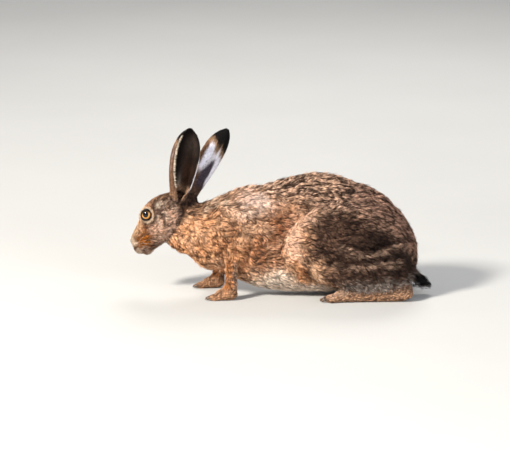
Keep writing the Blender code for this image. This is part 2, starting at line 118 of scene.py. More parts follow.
# Coat by part, in mm: its depth over the skin, length and width of a tuft, the number
# of tufts in a square mm and the size of a lock of them.
COAT = {
    "torso": (4.0, 11.0, 0.82, 0.56, 3.8),
    "neck": (3.4, 8.8, 0.74, 0.74, 4.2),
    "shoulder": (3.2, 9.0, 0.76, 0.64, 4.2),
    "thigh": (3.6, 9.8, 0.78, 0.62, 3.6),
    "shank": (2.8, 7.8, 0.76, 0.47, 3.2),
    "forearm": (1.6, 5.8, 0.62, 0.66, 2.6),
    "forepaw": (1.0, 4.2, 0.56, 0.74, 2.0),
    "hind_foot": (1.1, 4.8, 0.62, 0.56, 2.2),
    "tail": (2.8, 13.0, 0.80, 0.90, 3.4),
    "head": (1.5, 4.1, 0.43, 1.83, 2.5),
    "ear": (0.45, 3.2, 0.42, 0.62, 1.4),
}

# Lie of the coat by part; head and ears follow their own axes.
LIE = {
    "torso": (1.0, 0.0, -0.22),
    "neck": (0.85, 0.0, -0.50),
    "shoulder": (0.72, 0.0, -0.70),
    "thigh": (0.95, 0.0, -0.30),
    "shank": (0.70, 0.0, -0.75),
    "forearm": (0.08, 0.0, -1.0),
    "forepaw": (-0.9, 0.0, -0.25),
    "hind_foot": (-1.0, 0.0, -0.08),
    "tail": (0.85, 0.0, -0.5),
    "head": (1.0, 0.0, 0.0),
    "ear": (1.0, 0.0, 0.0),
}

# Clumps of tufts are longer along the body than across it.
STREAK = np.array([0.45, 1.0, 1.0])

# Pieces of the coat: the parts that each covers, and the stretch of x in mm of those
# that share the trunk.
COAT_PIECES = {
    "coat_head_left": (["head"], None),
    "coat_head_right": (["head"], None),
    "coat_ear_left": (["ear_left"], None),
    "coat_ear_right": (["ear_right"], None),
    "coat_neck": (["neck", "tail"], None),
    "coat_chest": (["torso"], (-400, -30)),
    "coat_back": (["torso"], (-30, 70)),
    "coat_rump": (["torso"], (70, 400)),
    "coat_side_left": (["shoulder_left", "thigh_left"], None),
    "coat_side_right": (["shoulder_right", "thigh_right"], None),
    "coat_forelegs": (["forearm_left", "forearm_right", "forepaw_left", "forepaw_right"], None),
    "coat_hind_legs": (["shank_left", "shank_right", "hind_foot_left", "hind_foot_right"], None),
}

# Tufts: width at root and middle and height of the ridge against the full width, share
# that strays from its lock, size of a patch on the map, and in metres how deep the root
# sits and how high over the ground everything stays.
TUFT_WIDTHS, TUFT_RIDGE = (0.72, 1.0), 0.40
STRAY_SHARE, PATCH = 0.06, 0.003
ROOT_SINK, GROUND_GAP = 0.0005, 0.0002

# Locks: how many of their tufts share the tick, and the spread of their turns in radians.
TICK_SHARED, LOCK_TURN, TUFT_TURN = 0.72, 0.20, 0.15

# Fringe of the ears: combs of pale hairs in each. Whiskers: rows, number in a row and
# radius in metres.
COMBS, COMB_HAIRS = 24, 18
WHISKER_ROWS, ROW_WHISKERS, WHISKER_RADIUS = 3, 4, 0.00016
TOES = 4

# Colours of the coat as the eye sees them, red, green and blue from 0 to 255, and a
# little over that for painted light on the haunch's rim and the white backs of the ears.
TAWNY = (230, 178, 138)
ORANGE = (230, 168, 120)
RUFOUS = (172, 112, 74)
CHESTNUT = (158, 102, 68)
FLANK_HIGHLIGHT = (248, 218, 196)
RUFFLE_HIGHLIGHT = (246, 204, 170)
BUFF = (208, 170, 144)
CHEEK = (226, 182, 154)
CHEEK_GREY = (190, 154, 136)
BACK_TAN = (212, 172, 144)
BACK_FRONT = (178, 134, 100)
BACK_REAR = (164, 126, 106)
NAPE = (116, 82, 60)
HAUNCH_RIM_HIGHLIGHT = (276, 226, 192)
BELLY_TAN = (226, 188, 152)
SHANK_PALE = (240, 196, 160)
FOREARM_TAN = (222, 148, 94)
PAW_TAN = (204, 154, 116)
FOOT_TAN = (204, 160, 126)
FOOT_BROWN = (166, 122, 90)
HEEL_BROWN = (140, 108, 88)
OLIVE_TAN = (182, 146, 114)
EAR_TAN = (138, 102, 78)
EAR_BASE = (176, 138, 108)
EAR_WHITE_LIT = (284, 282, 292)
CUP_RIM = (176, 142, 114)
CUP_BASE = (206, 164, 130)
CUP_GLOW = (92, 56, 36)
FOREHEAD = (166, 126, 98)
SUNLIT = (255, 222, 202)
GREY_BROWN = (122, 91, 73)
UMBER = (96, 72, 58)
TICK_BROWN = (108, 70, 48)
DARK_TICK = (56, 38, 30)
BLACK = (18, 15, 14)
CREAM = (240, 222, 200)
WHITE = (236, 232, 232)
LILAC_WHITE = (216, 208, 212)
BELLY_WHITE = (246, 222, 200)
LILAC_GREY = (142, 128, 118)
SLATE = (96, 86, 98)
SLATE_SHADOW = (42, 35, 41)
EAR_BROWN = (23, 11, 7)
EAR_SHEEN_GREY = (112, 98, 88)
NOSE_PINK = (120, 86, 76)
DEEP_BROWN_SHADE = (38, 27, 21)
SNOUT_TAN = (238, 196, 156)
SNOUT_BROWN = (150, 108, 80)
OCHRE = (204, 120, 40)
OCHRE_DARK = (76, 44, 22)
PAD_BROWN = (104, 62, 30)
LIP_TAN = (186, 146, 122)
ROUND_EYE = (232, 204, 176)
AMBER = (182, 110, 36)
AMBER_PALE = (228, 174, 94)
PUPIL_SKY_TINT = (7, 8, 14)
LID_SHADE = (8, 6, 5)
HORN = (58, 44, 36)
BRISTLE = (190, 178, 165)
FLOOR_GREY = (186, 185, 182)

# Hair that comes back in many places: pale colour, dark colour and share of dark ticks.
BLACK_HAIR = (BLACK, BLACK, 0.5)
CREAM_HAIR = (CREAM, BUFF, 0.1)
WHITE_HAIR = (BELLY_WHITE, CREAM, 0.08)
DARK_HAIR = (UMBER, DARK_TICK, 0.5)
RED_HAIR = (RUFOUS, UMBER, 0.4)
MARGIN_HAIR = (EAR_TAN, DARK_TICK, 0.46)
CUP_SHEEN = (EAR_SHEEN_GREY, UMBER, 0.3)

# Haunch: middle and reach of its oval in the side view, in mm, and how far the flank
# lies inside it.
HAUNCH_MIDDLE = (101.0, 74.0)
HAUNCH_REACH = (97.0, 79.0)
HAUNCH_STEP = 8.5

# Ridge of the back and depth of its darker band, and line of the jaw in the head's
# frame, in mm.
RIDGE_X = [-161, -139, -117, -91, -57, -25, 13, 57, 107, 149, 181, 198]
RIDGE_Z = [135, 138, 140, 151, 165, 169, 179, 188, 174, 155, 124, 96]
BAND_X = [-120, -80, -45, -22, 8, 60]
BAND_DEEP = [12, 17, 18, 22, 36, 50]
JAW_X = [40, 54, 70, 86, 98, 106, 116, 130]
JAW_Z = [-44, -37, -34, -29, -21, -12, -26, -50]

# Folds of the body: x, out from the middle and z of each point, width and depth, in mm.
BODY_FOLDS = [
    ([(84, 66, 91), (98, 66, 87), (116, 66, 83), (134, 64, 80), (152, 61, 87), (174, 54, 97)], 4.6, 5.4),
    ([(62, 66, 68), (84, 66, 64), (104, 66, 63), (128, 64, 66), (152, 60, 63), (172, 54, 70)], 4.6, 4.2),
    ([(132, 64, 104), (156, 60, 110), (178, 50, 112)], 5.0, 1.6),
    ([(2, 60, 72), (10, 62, 50), (22, 62, 30)], 6.0, 2.6),
    ([(-36, 48, 108), (-43, 52, 92), (-47, 52, 76), (-52, 50, 56), (-60, 46, 34)], 6.0, 5.0),
    ([(-60, 46, 114), (-72, 46, 103), (-84, 44, 86), (-93, 42, 62)], 5.0, 4.0),
]

# Folds of the head, in its own frame: the jaw against the neck, the corner of the jaw
# and the hollow in front of the eye. Lines of the face are narrow and keep their ends.
HEAD_FOLDS = [
    ([(106, 14, -6), (98, 18, -20), (86, 20, -28), (70, 17, -33), (54, 12, -36)], 3.4, 3.0),
    ([(72, 26, -4), (69, 26, -14), (62, 24, -22)], 2.6, 0.9),
    ([(46, 22, 2), (36, 20, -3), (26, 18, -6)], 4.0, 1.2),
]
MOUTH = ([(-1, 1, -21.5), (6, 9, -23.5), (16, 15, -26.5), (25, 18, -27)], 1.0, 2.0)
CLEFT = ([(-2, 0, -7.5), (-2, 0, -14), (1, 0, -21.5)], 0.8, 2.0)
NOSTRIL = ([(0.5, 2.6, -7.4), (0.0, 4.6, -5.6), (2.0, 7.0, -3.4)], 1.0, 3.0)
LINE_WIDTH = 2.0


def linear(colour):
    """Linear light of a colour given from 0 to 255."""
    c = np.asarray(colour, dtype=float) / 255.0
    return np.where(c <= 0.04045, c / 12.92, ((c + 0.055) / 1.055) ** 2.4)


def ease(low, high, value):
    """Smooth step from 0 at one value to 1 at the other."""
    t = np.clip((value - low) / (high - low), 0.0, 1.0)
    return t * t * (3.0 - 2.0 * t)


def unit(vectors):
    return vectors / np.maximum(np.linalg.norm(vectors, axis=-1, keepdims=True), 1e-9)


def noise(points, size, seed):
    """Smooth noise from 0 to 1 on a lattice of cells of a size in metres."""
    place = points / size
    cell = np.floor(place).astype(np.int64)
    part = place - cell
    part = part * part * (3.0 - 2.0 * part)
    total = np.zeros(len(points))
    for corner in range(8):
        step = np.array([(corner >> axis) & 1 for axis in range(3)])
        weight = np.prod(np.where(step, part, 1.0 - part), axis=1)
        key = (cell + step) @ np.array([73856093, 19349663, 83492791]) + seed * 2654435761
        key = (key ^ (key >> 13)) * 1274126177
        total += weight * (((key ^ (key >> 16)) & 0xFFFF) / 65535.0)
    return total


def wave(points, size, seed, reach):
    """Noise to both sides of 0, with a reach from its lowest to its highest."""
    return (noise(points, size, seed) - 0.5) * reach


def vary(low, reach, count=None):
    """One random value, or a row of them, from low up by a reach."""
    return low + reach * rng.random(count)


def ruffle(points):
    """Unrest of the coat, from 0 where it stands up to 1 where it sinks in."""
    return 0.64 * noise(points, 0.019, 41) + 0.36 * noise(points, 0.009, 42)


def blob(x, z, centre, reach):
    return np.exp(-(((x - centre[0]) / reach[0]) ** 2) - (((z - centre[1]) / reach[1]) ** 2))


def spline(table, t):
    """Smooth curve through the rows of a table, t from 0 to 1."""
    last = len(table) - 1
    i = min(int(t * last), last - 1)
    f = t * last - i
    start, here, after, beyond = table[[max(i - 1, 0), i, i + 1, min(i + 2, last)]]
    slope_a, slope_b = (after - start) / 2.0, (beyond - here) / 2.0
    return (
        (2 * f**3 - 3 * f**2 + 1) * here
        + (f**3 - 2 * f**2 + f) * slope_a
        + (3 * f**2 - 2 * f**3) * after
        + (f**3 - f**2) * slope_b
    )


def path_gap(points, path):
    """Shortest way from each point to a path, and where along it, from 0 to 1."""
    path = np.array(path, dtype=float)
    best = np.full(len(points), 1e9)
    where = np.zeros(len(points))
    for k in range(len(path) - 1):
        run = path[k + 1] - path[k]
        t = np.clip(((points - path[k]) @ run) / (run @ run), 0.0, 1.0)
        gap = np.linalg.norm(points - path[k] - t[:, None] * run, axis=1)
        closer = gap < best
        best[closer] = gap[closer]
        where[closer] = (k + t[closer]) / (len(path) - 1)
    return best, where


def head_frame():
    """Place of the head's own frame, found from the two eyes of the model."""
    middle = Vector((0.0, 0.0, 0.0))
    for side in SIDES:
        low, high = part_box(f"eye_{side}")
        middle += (low + high) / 4.0
    turn = HEAD_TURN.to_matrix().to_4x4()
    return Matrix.Translation(middle) @ turn @ Matrix.Translation((-EYE_BACK * MM, 0.0, -EYE_UP * MM))


HEAD = head_frame()
HEAD_AXES = np.array(HEAD.to_3x3())
NOSE = np.array(HEAD.translation)


def in_head(points):
    """Places in the head's own frame, in mm."""
    return (points - NOSE) @ HEAD_AXES / MM


def folded(places):
    """Places with the right side laid over the left."""
    return np.stack([places[:, 0], np.abs(places[:, 1]), places[:, 2]], axis=1)


def locate(points):
    """Places in the model's frame with both sides folded onto one, in mm."""
    return folded(points) / MM


def before(places, far, near):
    """1 on the head in front of a place in its own frame, 0 behind and on the limbs."""
    return ease(far, near, places[:, 0]) * ease(-58.0, -46.0, places[:, 2])


def eye_gap(places):
    """Way from the middle of the eye in the head's side view, in mm."""
    return np.hypot(places[:, 0] - EYE_BACK, places[:, 2] - EYE_UP)


def nose_gap(places):
    """Way from the bare skin between the nostrils, in mm."""
    return np.hypot(np.maximum(places[:, 0] - 1.0, 0.0), np.hypot(places[:, 1] * 0.85, places[:, 2] + 6.2))


def ear_axes(side):
    """Root, length, axis, way to the front and way that the cup opens."""
    root = NOSE + np.array(EAR_ROOT[side]) * MM
    tip = NOSE + np.array(EAR_TIP[side]) * MM
    length = np.linalg.norm(tip - root)
    axis = (tip - root) / length
    opening = np.array(EAR_OPENS[side])
    opening = unit(opening - axis * opening.dot(axis))
    front = np.cross(opening, axis) if side == "left" else np.cross(axis, opening)
    return root, length, axis, front, opening


def link(name, mesh):
    obj = bpy.data.objects.new(name, mesh)
    bpy.context.collection.objects.link(obj)
    return obj


def settle(obj):
    """Apply the modifiers of an object."""
    graph = bpy.context.evaluated_depsgraph_get()
    mesh = bpy.data.meshes.new_from_object(obj.evaluated_get(graph))
    obj.modifiers.clear()
    obj.data = mesh


@contextmanager
def edited(mesh):
    """A mesh opened for changes and written back after them."""
    bm = bmesh.new()
    bm.from_mesh(mesh)
    yield bm
    bm.to_mesh(mesh)
    bm.free()


def mesh_from_arrays(name, points, faces):
    """Mesh of faces with one number of corners, from arrays."""
    mesh = bpy.data.meshes.new(name)
    mesh.vertices.add(len(points))
    mesh.vertices.foreach_set("co", np.ascontiguousarray(points, dtype=np.float32).ravel())
    mesh.loops.add(faces.size)
    mesh.loops.foreach_set("vertex_index", faces.astype(np.int32).ravel())
    mesh.polygons.add(len(faces))
    mesh.polygons.foreach_set("loop_start", np.arange(0, faces.size, faces.shape[1], dtype=np.int32))
    mesh.update(calc_edges=True)
    mesh.shade_smooth()
    return mesh


def paint(mesh, colours):
    """Colour at each point, in linear light."""
    layer = mesh.color_attributes.new("Coat", "FLOAT_COLOR", "POINT")
    rgba = np.ones((len(colours), 4), dtype=np.float32)
    rgba[:, :3] = colours
    layer.data.foreach_set("color", rgba.ravel())


def make_piece(name, points, faces, material=None, colours=None):
    """Closed object from arrays: doubled points merged, holes filled, faces turned outward."""
    mesh = mesh_from_arrays(name, np.array(points, dtype=float), faces)
    if colours is not None:
        paint(mesh, colours)
    with edited(mesh) as bm:
        bmesh.ops.remove_doubles(bm, verts=bm.verts, dist=0.000002)
        bmesh.ops.holes_fill(bm, edges=[edge for edge in bm.edges if edge.is_boundary], sides=0)
        bmesh.ops.recalc_face_normals(bm, faces=bm.faces)
    mesh.shade_smooth()
    if material:
        mesh.materials.append(material)
    return link(name, mesh)


def ring_faces(rings, around):
    """Faces between rings of points, each closed on itself."""
    grid = np.arange(rings * around).reshape(rings, around)
    following = np.roll(grid, -1, axis=1)
    return np.stack([grid[:-1], following[:-1], following[1:], grid[1:]], axis=-1).reshape(-1, 4)


def read(items, key, width, kind=np.float32):
    """One property of the items of a mesh, as rows of an array."""
    values = np.empty(len(items) * width, dtype=kind)
    items.foreach_get(key, values)
    return values.reshape(-1, width)


class Surface:
    """Points, normals, triangles and edges of a mesh as arrays."""

    def __init__(self, obj):
        mesh = obj.data
        mesh.calc_loop_triangles()
        self.points = read(mesh.vertices, "co", 3).astype(float)
        self.normals = read(mesh.vertex_normals, "vector", 3).astype(float)
        self.triangles = read(mesh.loop_triangles, "vertices", 3, np.int32)
        self.edges = read(mesh.edges, "vertices", 2, np.int32)

    def spread(self, values, rounds, weight=0.5):
        """Average values with those of their neighbours, a number of rounds."""
        spread = np.array(values, dtype=float).reshape(len(values), -1)
        a, b = self.edges.T
        count = len(self.points)
        near = np.maximum(np.bincount(self.edges.ravel(), minlength=count), 1)
        for _ in range(rounds):
            for column in spread.T:
                total = np.bincount(a, column[b], count) + np.bincount(b, column[a], count)
                column += weight * (total / near - column)
        return spread.reshape(values.shape)


def write_points(obj, points):
    obj.data.vertices.foreach_set("co", points.astype(np.float32).ravel())
    obj.data.update()


def nearest_part(points):
    """Index in PARTS of the node of the model that lies nearest to each point."""
    corners, faces, owner = [], [], []
    for index, name in enumerate(PARTS):
        mesh = frame["nodes"][name].data
        start = len(corners)
        corners += [vert.co.copy() for vert in mesh.vertices]
        for polygon in mesh.polygons:
            faces.append([start + k for k in polygon.vertices])
            owner.append(index)
    tree = BVHTree.FromPolygons(corners, faces)
    return np.array([owner[tree.find_nearest(Vector(point))[2]] for point in points])


def by_part(parts, table):
    """Row of a table for each point, by the kind of its part."""
    rows = np.array([table[name.replace("_left", "").replace("_right", "")] for name in PARTS])
    return rows[parts].astype(float)


# Skin

def soften(skin, rounds, share=lambda places: 1.0):
    """Smooth the skin, by a share that goes by the place in the head's frame."""
    surface = Surface(skin)
    weight = 0.5 * share(in_head(surface.points))
    write_points(skin, surface.spread(surface.points, rounds, weight))


def make_blank():
    """Flesh of head, trunk and limbs fused into one soft surface."""
    mesh = bpy.data.meshes.new("skin")
    with edited(mesh) as bm:
        for name, node in frame["nodes"].items():
            if not name.startswith("ear"):
                bm.from_mesh(node.data)
    skin = link("skin", mesh)
    fuse = skin.modifiers.new("fuse", "REMESH")
    fuse.mode = "VOXEL"
    fuse.voxel_size = SKIN_VOXEL * MM
    settle(skin)
    soften(skin, HEAD_ROUNDS)
    soften(skin, BODY_ROUNDS, lambda places: 1.0 - before(places, 100.0, 80.0))
    for reach in FINE_STEPS:
        refine_face(skin, reach)
    soften(skin, MUZZLE_ROUNDS, lambda places: before(places, 40.0, 34.0))
    return skin


def refine_face(skin, reach):
    """Smaller faces on the muzzle, for nostrils, cleft and lips."""
    with edited(skin.data) as bm:
        close = before(in_head(np.array([edge.verts[0].co for edge in bm.edges])), reach, reach - 0.1)
        chosen = [edge for edge, here in zip(bm.edges, close) if here > 0.5]
        bmesh.ops.subdivide_edges(bm, edges=chosen, cuts=1, use_grid_fill=True)
        bmesh.ops.triangulate(bm, faces=[face for face in bm.faces if len(face.verts) > 4])


def fold_lines(places, folds, flat=1.0):
    """Depth of folds, in mm; where they are flat, the way out from the middle counts less."""
    depth = 0.0
    for path, width, deep in folds:
        gap, where = path_gap(places * [1.0, flat, 1.0], np.array(path) * [1.0, flat, 1.0])
        ends = ease(0.0, 0.2, where) * ease(1.0, 0.8, where) if width >= LINE_WIDTH else 1.0
        depth = depth + deep * ends * np.exp(-((gap / width) ** 2))
    return depth


def haunch_depth(body):
    """Step down from the haunch's oval to the flank, with a low brim inside it."""
    along = (body[:, 0] - HAUNCH_MIDDLE[0]) / HAUNCH_REACH[0]
    up = (body[:, 2] - HAUNCH_MIDDLE[1]) / HAUNCH_REACH[1]
    away = (np.hypot(along, up) - 1.0) * sum(HAUNCH_REACH) / 2
    turn = np.arctan2(up, -along)
    reach = ease(-0.55, -0.2, turn) * ease(2.0, 1.2, turn) * ease(26.0, 40.0, body[:, 1])
    flank = np.exp(-np.maximum(away, 0.0) / 15.0) * ease(-3.5, 3.5, away)
    brim = np.exp(-(((away + 9.0) / 7.0) ** 2))
    return reach * (HAUNCH_STEP * flank - 2.4 * brim)


def fold_depths(points):
    """How deep every fold is at each point, in mm, with the heels rounded off."""
    body, head = locate(points), folded(in_head(points))
    x, _, z = body.T
    depth = fold_lines(body, BODY_FOLDS, 0.3) + fold_lines(head, HEAD_FOLDS + [MOUTH, CLEFT, NOSTRIL])
    depth += haunch_depth(body)
    heel = np.hypot(np.maximum(x - 186.0, 0.0), np.maximum(15.0 - z, 0.0)) - 12.0
    depth += 0.9 * np.clip(heel, 0.0, 6.0) * ease(182.0, 188.0, x) * ease(17.0, 12.0, z)
    trunk = (1.0 - before(head, 118.0, 96.0)) * ease(8.0, 30.0, z)
    ruffled = 1.0 + 0.9 * blob(x, z, (-84, 104), (62, 52))
    return depth + trunk * ruffled * (ruffle(points) - 0.5) * 3.6


# Grid of points over the lining of each ear, root to tip and rear rim to front rim.
EAR_LINING = {}


def make_ear_shell(side):
    """Cupped shell of an ear, root to tip, as the model has it but finer."""
    root, length, axis, front, opening = ear_axes(side)
    back, lining = [], []
    for k in range(EAR_LENGTHS + 1):
        share, half, bowl, wrap, curl = spline(EAR_ROWS, k / EAR_LENGTHS)
        half -= 0.5
        centre = root / MM + axis * (length / MM - 0.8) * share - opening * half * 0.5
        thick = EAR_THICKNESS * (1.0 - EAR_TAPER * share)
        angles = np.linspace(-radians(bowl), radians(wrap), EAR_WIDTHS)
        turn = angles[1] - angles[0]
        middle = angles[1:] - turn / 2
        steps = np.where(middle < EAR_BEND, half, curl) * turn
        run = np.stack([np.cos(middle) * steps, np.sin(middle) * steps], axis=1)
        points = np.vstack([[0.0, 0.0], np.cumsum(run, axis=0)])
        low, high = points.min(axis=0), points.max(axis=0)
        points = (points - [(high[0] + low[0]) / 2, low[1]]) * (2 * half / (high[0] - low[0]))
        outer = centre + points[:, :1] * front + points[:, 1:] * opening
        inward = np.cos(angles)[:, None] * opening - np.sin(angles)[:, None] * front
        back.append(outer + inward * 0.35)
        lining.append(outer + inward * (0.35 + thick))
    EAR_LINING[side] = np.array(lining) * MM
    return close_sheet(f"shell_{side}", np.array(back) * MM, EAR_LINING[side])


def close_sheet(name, back, lining):
    """Closed surface between two grids of points."""
    rows, columns = back.shape[:2]
    grid = np.arange(rows * columns).reshape(rows, columns)
    other = grid + rows * columns

    def quads(a):
        return np.stack([a[:-1, :-1], a[:-1, 1:], a[1:, 1:], a[1:, :-1]], axis=-1).reshape(-1, 4)

    def edge(a, b):
        return np.stack([a[:-1], b[:-1], b[1:], a[1:]], axis=-1)

    faces = [
        quads(grid), quads(other)[:, ::-1], edge(grid[0], other[0]), edge(grid[-1], other[-1])[:, ::-1],
        edge(grid[:, 0], other[:, 0])[:, ::-1], edge(grid[:, -1], other[:, -1]),
    ]
    return make_piece(name, np.concatenate([back, lining]).reshape(-1, 3), np.concatenate(faces))


def raise_brows(skin):
    """Mound of the orbit that carries the lids, all round each eye."""
    surface = Surface(skin)
    places = in_head(surface.points)
    out = np.abs(places[:, 1])
    gap = eye_gap(places)
    wanted = EYE_OUT + 5.2 - 0.34 * np.maximum(gap - 8.0, 0.0) ** 1.5
    near = ease(19.0, 12.0, gap) * ease(2.0, 7.0, out)
    push = near * np.maximum(wanted - out, 0.0)
    moved = surface.points + np.sign(places[:, 1])[:, None] * (push * MM)[:, None] * HEAD_AXES[:, 1]
    write_points(skin, surface.spread(moved, 5, 0.5 * near * ease(6.0, 9.0, gap)))


def make_skin():
    """One skin: blank, drawn in by the coat's depth, folded, with the ears fused on."""
    skin = make_blank()
    surface = Surface(skin)
    depth = surface.spread(by_part(nearest_part(surface.points), COAT)[:, 0], 14)
    muzzle = before(in_head(surface.points), 38.0, 12.0)
    depth = depth * (1.0 - 0.65 * muzzle) + fold_depths(surface.points)
    normals = surface.spread(surface.normals, 2)
    write_points(skin, surface.points - unit(normals) * (depth * MM)[:, None])
    raise_brows(skin)
    group = bpy.data.collections.new("shells")
    shells = [make_ear_shell(side) for side in SIDES]
    for shell in shells:
        group.objects.link(shell)
    join = skin.modifiers.new("ears", "BOOLEAN")
    join.operation = "UNION"
    join.operand_type = "COLLECTION"
    join.collection = group
    join.solver = "MANIFOLD"
    settle(skin)
    for shell in shells:
        bpy.data.objects.remove(shell, do_unlink=True)
    bpy.data.collections.remove(group)
    skin.data.shade_smooth()
    return skin


# Markings

class Brush:
    """Lays tones on a region, by places in a side view.

    The look of a point is a row of seven numbers: its pale colour, its dark colour and
    the share of dark ticks.
    """

    def __init__(self, look, on, x, z):
        self.look, self.on, self.x, self.z = look, on, x, z

    def lay(self, amount, pale, dark, ticks):
        wanted = np.concatenate([linear(pale), linear(dark), [ticks]])
        self.look += (wanted - self.look) * np.clip(self.on * amount, 0.0, 1.0)[:, None]

    def spot(self, centre, reach, amount, *tones):
        self.lay(blob(self.x, self.z, centre, reach) * amount, *tones)

    def line(self, path, width, amount, *tones):
        gap, _ = path_gap(np.stack([self.x, self.z], axis=1), path)
        self.lay(np.exp(-((gap / width) ** 2)) * amount, *tones)


def back_band(x, z, wander=0.0):
    """1 along the ridge of the back, 0 down the flanks."""
    deep = np.interp(x, BAND_X, BAND_DEEP)
    return ease(1.15, 0.45, (np.interp(x, RIDGE_X, RIDGE_Z) - z + wander) / deep)


def body_marks(look, points, on):
    """Markings of trunk, neck and limbs, laid by places in the side view, in mm."""
    x, y, z = locate(points).T
    wander = wave(points, 0.030, 3, 16.0) + wave(points, 0.011, 4, 8.0)
    soft = Brush(look, on, x + wander * 0.5, z + wander * 0.4)
    sharp = Brush(look, on, x, z)
    trunk_marks(soft, sharp, x, y, z, wander, ruffle(points))
    haunch_marks(soft, sharp, x, y, z, wander)


def trunk_marks(soft, sharp, x, y, z, wander, sunk):
    """Neck, shoulder and flank warm, rump grey brown, the ticked band of the back, and painted light and
    shade.
    """
    soft.spot((-124, 92), (44, 40), 1.2, ORANGE, TICK_BROWN, 0.15)
    soft.spot((-12, 108), (40, 42), 1.0, CHESTNUT, TICK_BROWN, 0.34)
    soft.spot((-50, 110), (22, 16), 1.0, TAWNY, DARK_TICK, 0.34)
    # painted shade behind the elbow
    soft.spot((-36, 70), (14, 24), 1.0, *RED_HAIR)
    # painted shade in the crease between chest and foreleg
    sharp.line([(-64, 111), (-74, 101), (-86, 84), (-95, 60)], 4.5, 0.8, *RED_HAIR)
    soft.line([(-60, 92), (-68, 72), (-72, 48)], 12.0, 1.0, ORANGE, RUFOUS, 0.22)
    soft.lay(ease(20, 48, x + wander) * ease(24, 56, z + 0.15 * x), GREY_BROWN, DARK_TICK, 0.50)
    # dark brown of the rump, darker still as painted shade on its rear side, turned from the light
    soft.spot((164, 80), (78, 62), 1.2, DEEP_BROWN_SHADE, DARK_TICK, 0.42)
    warm = ease(30, 10, x + wander) * (1.0 - back_band(x, z))
    # painted shade in the troughs of the ruffled coat and painted highlight on its crests
    soft.lay(warm * ease(0.52, 0.68, sunk) * 0.42, RUFOUS, UMBER, 0.3)
    soft.lay(warm * ease(0.46, 0.30, sunk) * 0.36, RUFFLE_HIGHLIGHT, TAWNY, 0.08)
    soft.spot((58, 126), (30, 12), 0.8, *DARK_HAIR)
    band = back_band(x, z, wander)
    soft.lay(band, BACK_TAN, DARK_TICK, 0.50)
    soft.lay(band * ease(-54, -76, x) * 0.8, BACK_FRONT, UMBER, 0.44)
    soft.lay(band * ease(60, 140, x), BACK_REAR, DARK_TICK, 0.44)
    # painted highlights: pools of sunlight high on the flank
    soft.spot((-40, 147), (24, 11), 1.3, SUNLIT, TAWNY, 0.05)
    soft.spot((-52, 134), (28, 9), 0.6, FLANK_HIGHLIGHT, BUFF, 0.12)
    soft.line([(-120, 128), (-104, 138), (-86, 142)], 4.0, 0.4, CREAM, TAWNY, 0.1)
    sharp.spot((-134, 142), (12, 13), ease(50, 20, y), NAPE, DARK_TICK, 0.35)


def haunch_marks(soft, sharp, x, y, z, wander):
    """Painted highlight on the haunch's rim, white belly, pale shank, thigh folds with painted shade."""
    side = ease(30, 46, y)
    soft.spot((46, 58), (24, 14), 1.0, TAWNY, UMBER, 0.34)
    rim = [(14, 76), (12, 98), (16, 116), (26, 130), (38, 138)]
    # painted highlight: the front rim of the haunch, where the light catches it, a little over white
    sharp.line(rim, 12.0, side * 1.4, HAUNCH_RIM_HIGHLIGHT, TAWNY, 0.05)
    sharp.line([(40, 141), (58, 150), (80, 153)], 4.5, side * 0.8, TAWNY, TICK_BROWN, 0.3)
    # painted shade in the crease in front of the haunch's rim
    sharp.line([(0, 72), (-1, 96), (4, 118), (14, 136), (30, 149)], 3.0, side * 0.6, RUFOUS, UMBER, 0.45)
    belly = ease(52, 34, z + wander * 0.9) * ease(-62, -34, x) * ease(64, 34, x)
    soft.lay(belly, BELLY_TAN, BUFF, 0.2)
    soft.spot((-12, 30), (24, 16), 1.3, *WHITE_HAIR)
    soft.line([(22, 62), (28, 44), (40, 26)], 6.0, 1.0, ORANGE, RUFOUS, 0.26)
    soft.lay(ease(34, 20, z) * ease(42, 28, y), *WHITE_HAIR)
    sharp.line([(32, 52), (42, 34), (52, 14)], 6.0, side, *RED_HAIR)
    sharp.line([(44, 56), (58, 32), (74, 4)], 4.2, side * 1.2, SHANK_PALE, TAWNY, 0.1)
    # painted shade: the white fur low under the rump, laid grey
    soft.lay(ease(70, 100, x) * ease(44, 28, z + wander * 0.4), LILAC_GREY, UMBER, 0.3)
    # each fold of the rump: a pale line below it and painted shade along its crease
    for (path, _, _), amount in zip(BODY_FOLDS[:2], (0.55, 0.45)):
        soft.line([(a, b - 7.5) for a, _, b in path], 5.0, side * amount, BUFF, UMBER, 0.3)
        sharp.line([(a, b) for a, _, b in path], 3.4, side * 0.8, DEEP_BROWN_SHADE, DARK_TICK, 0.5)


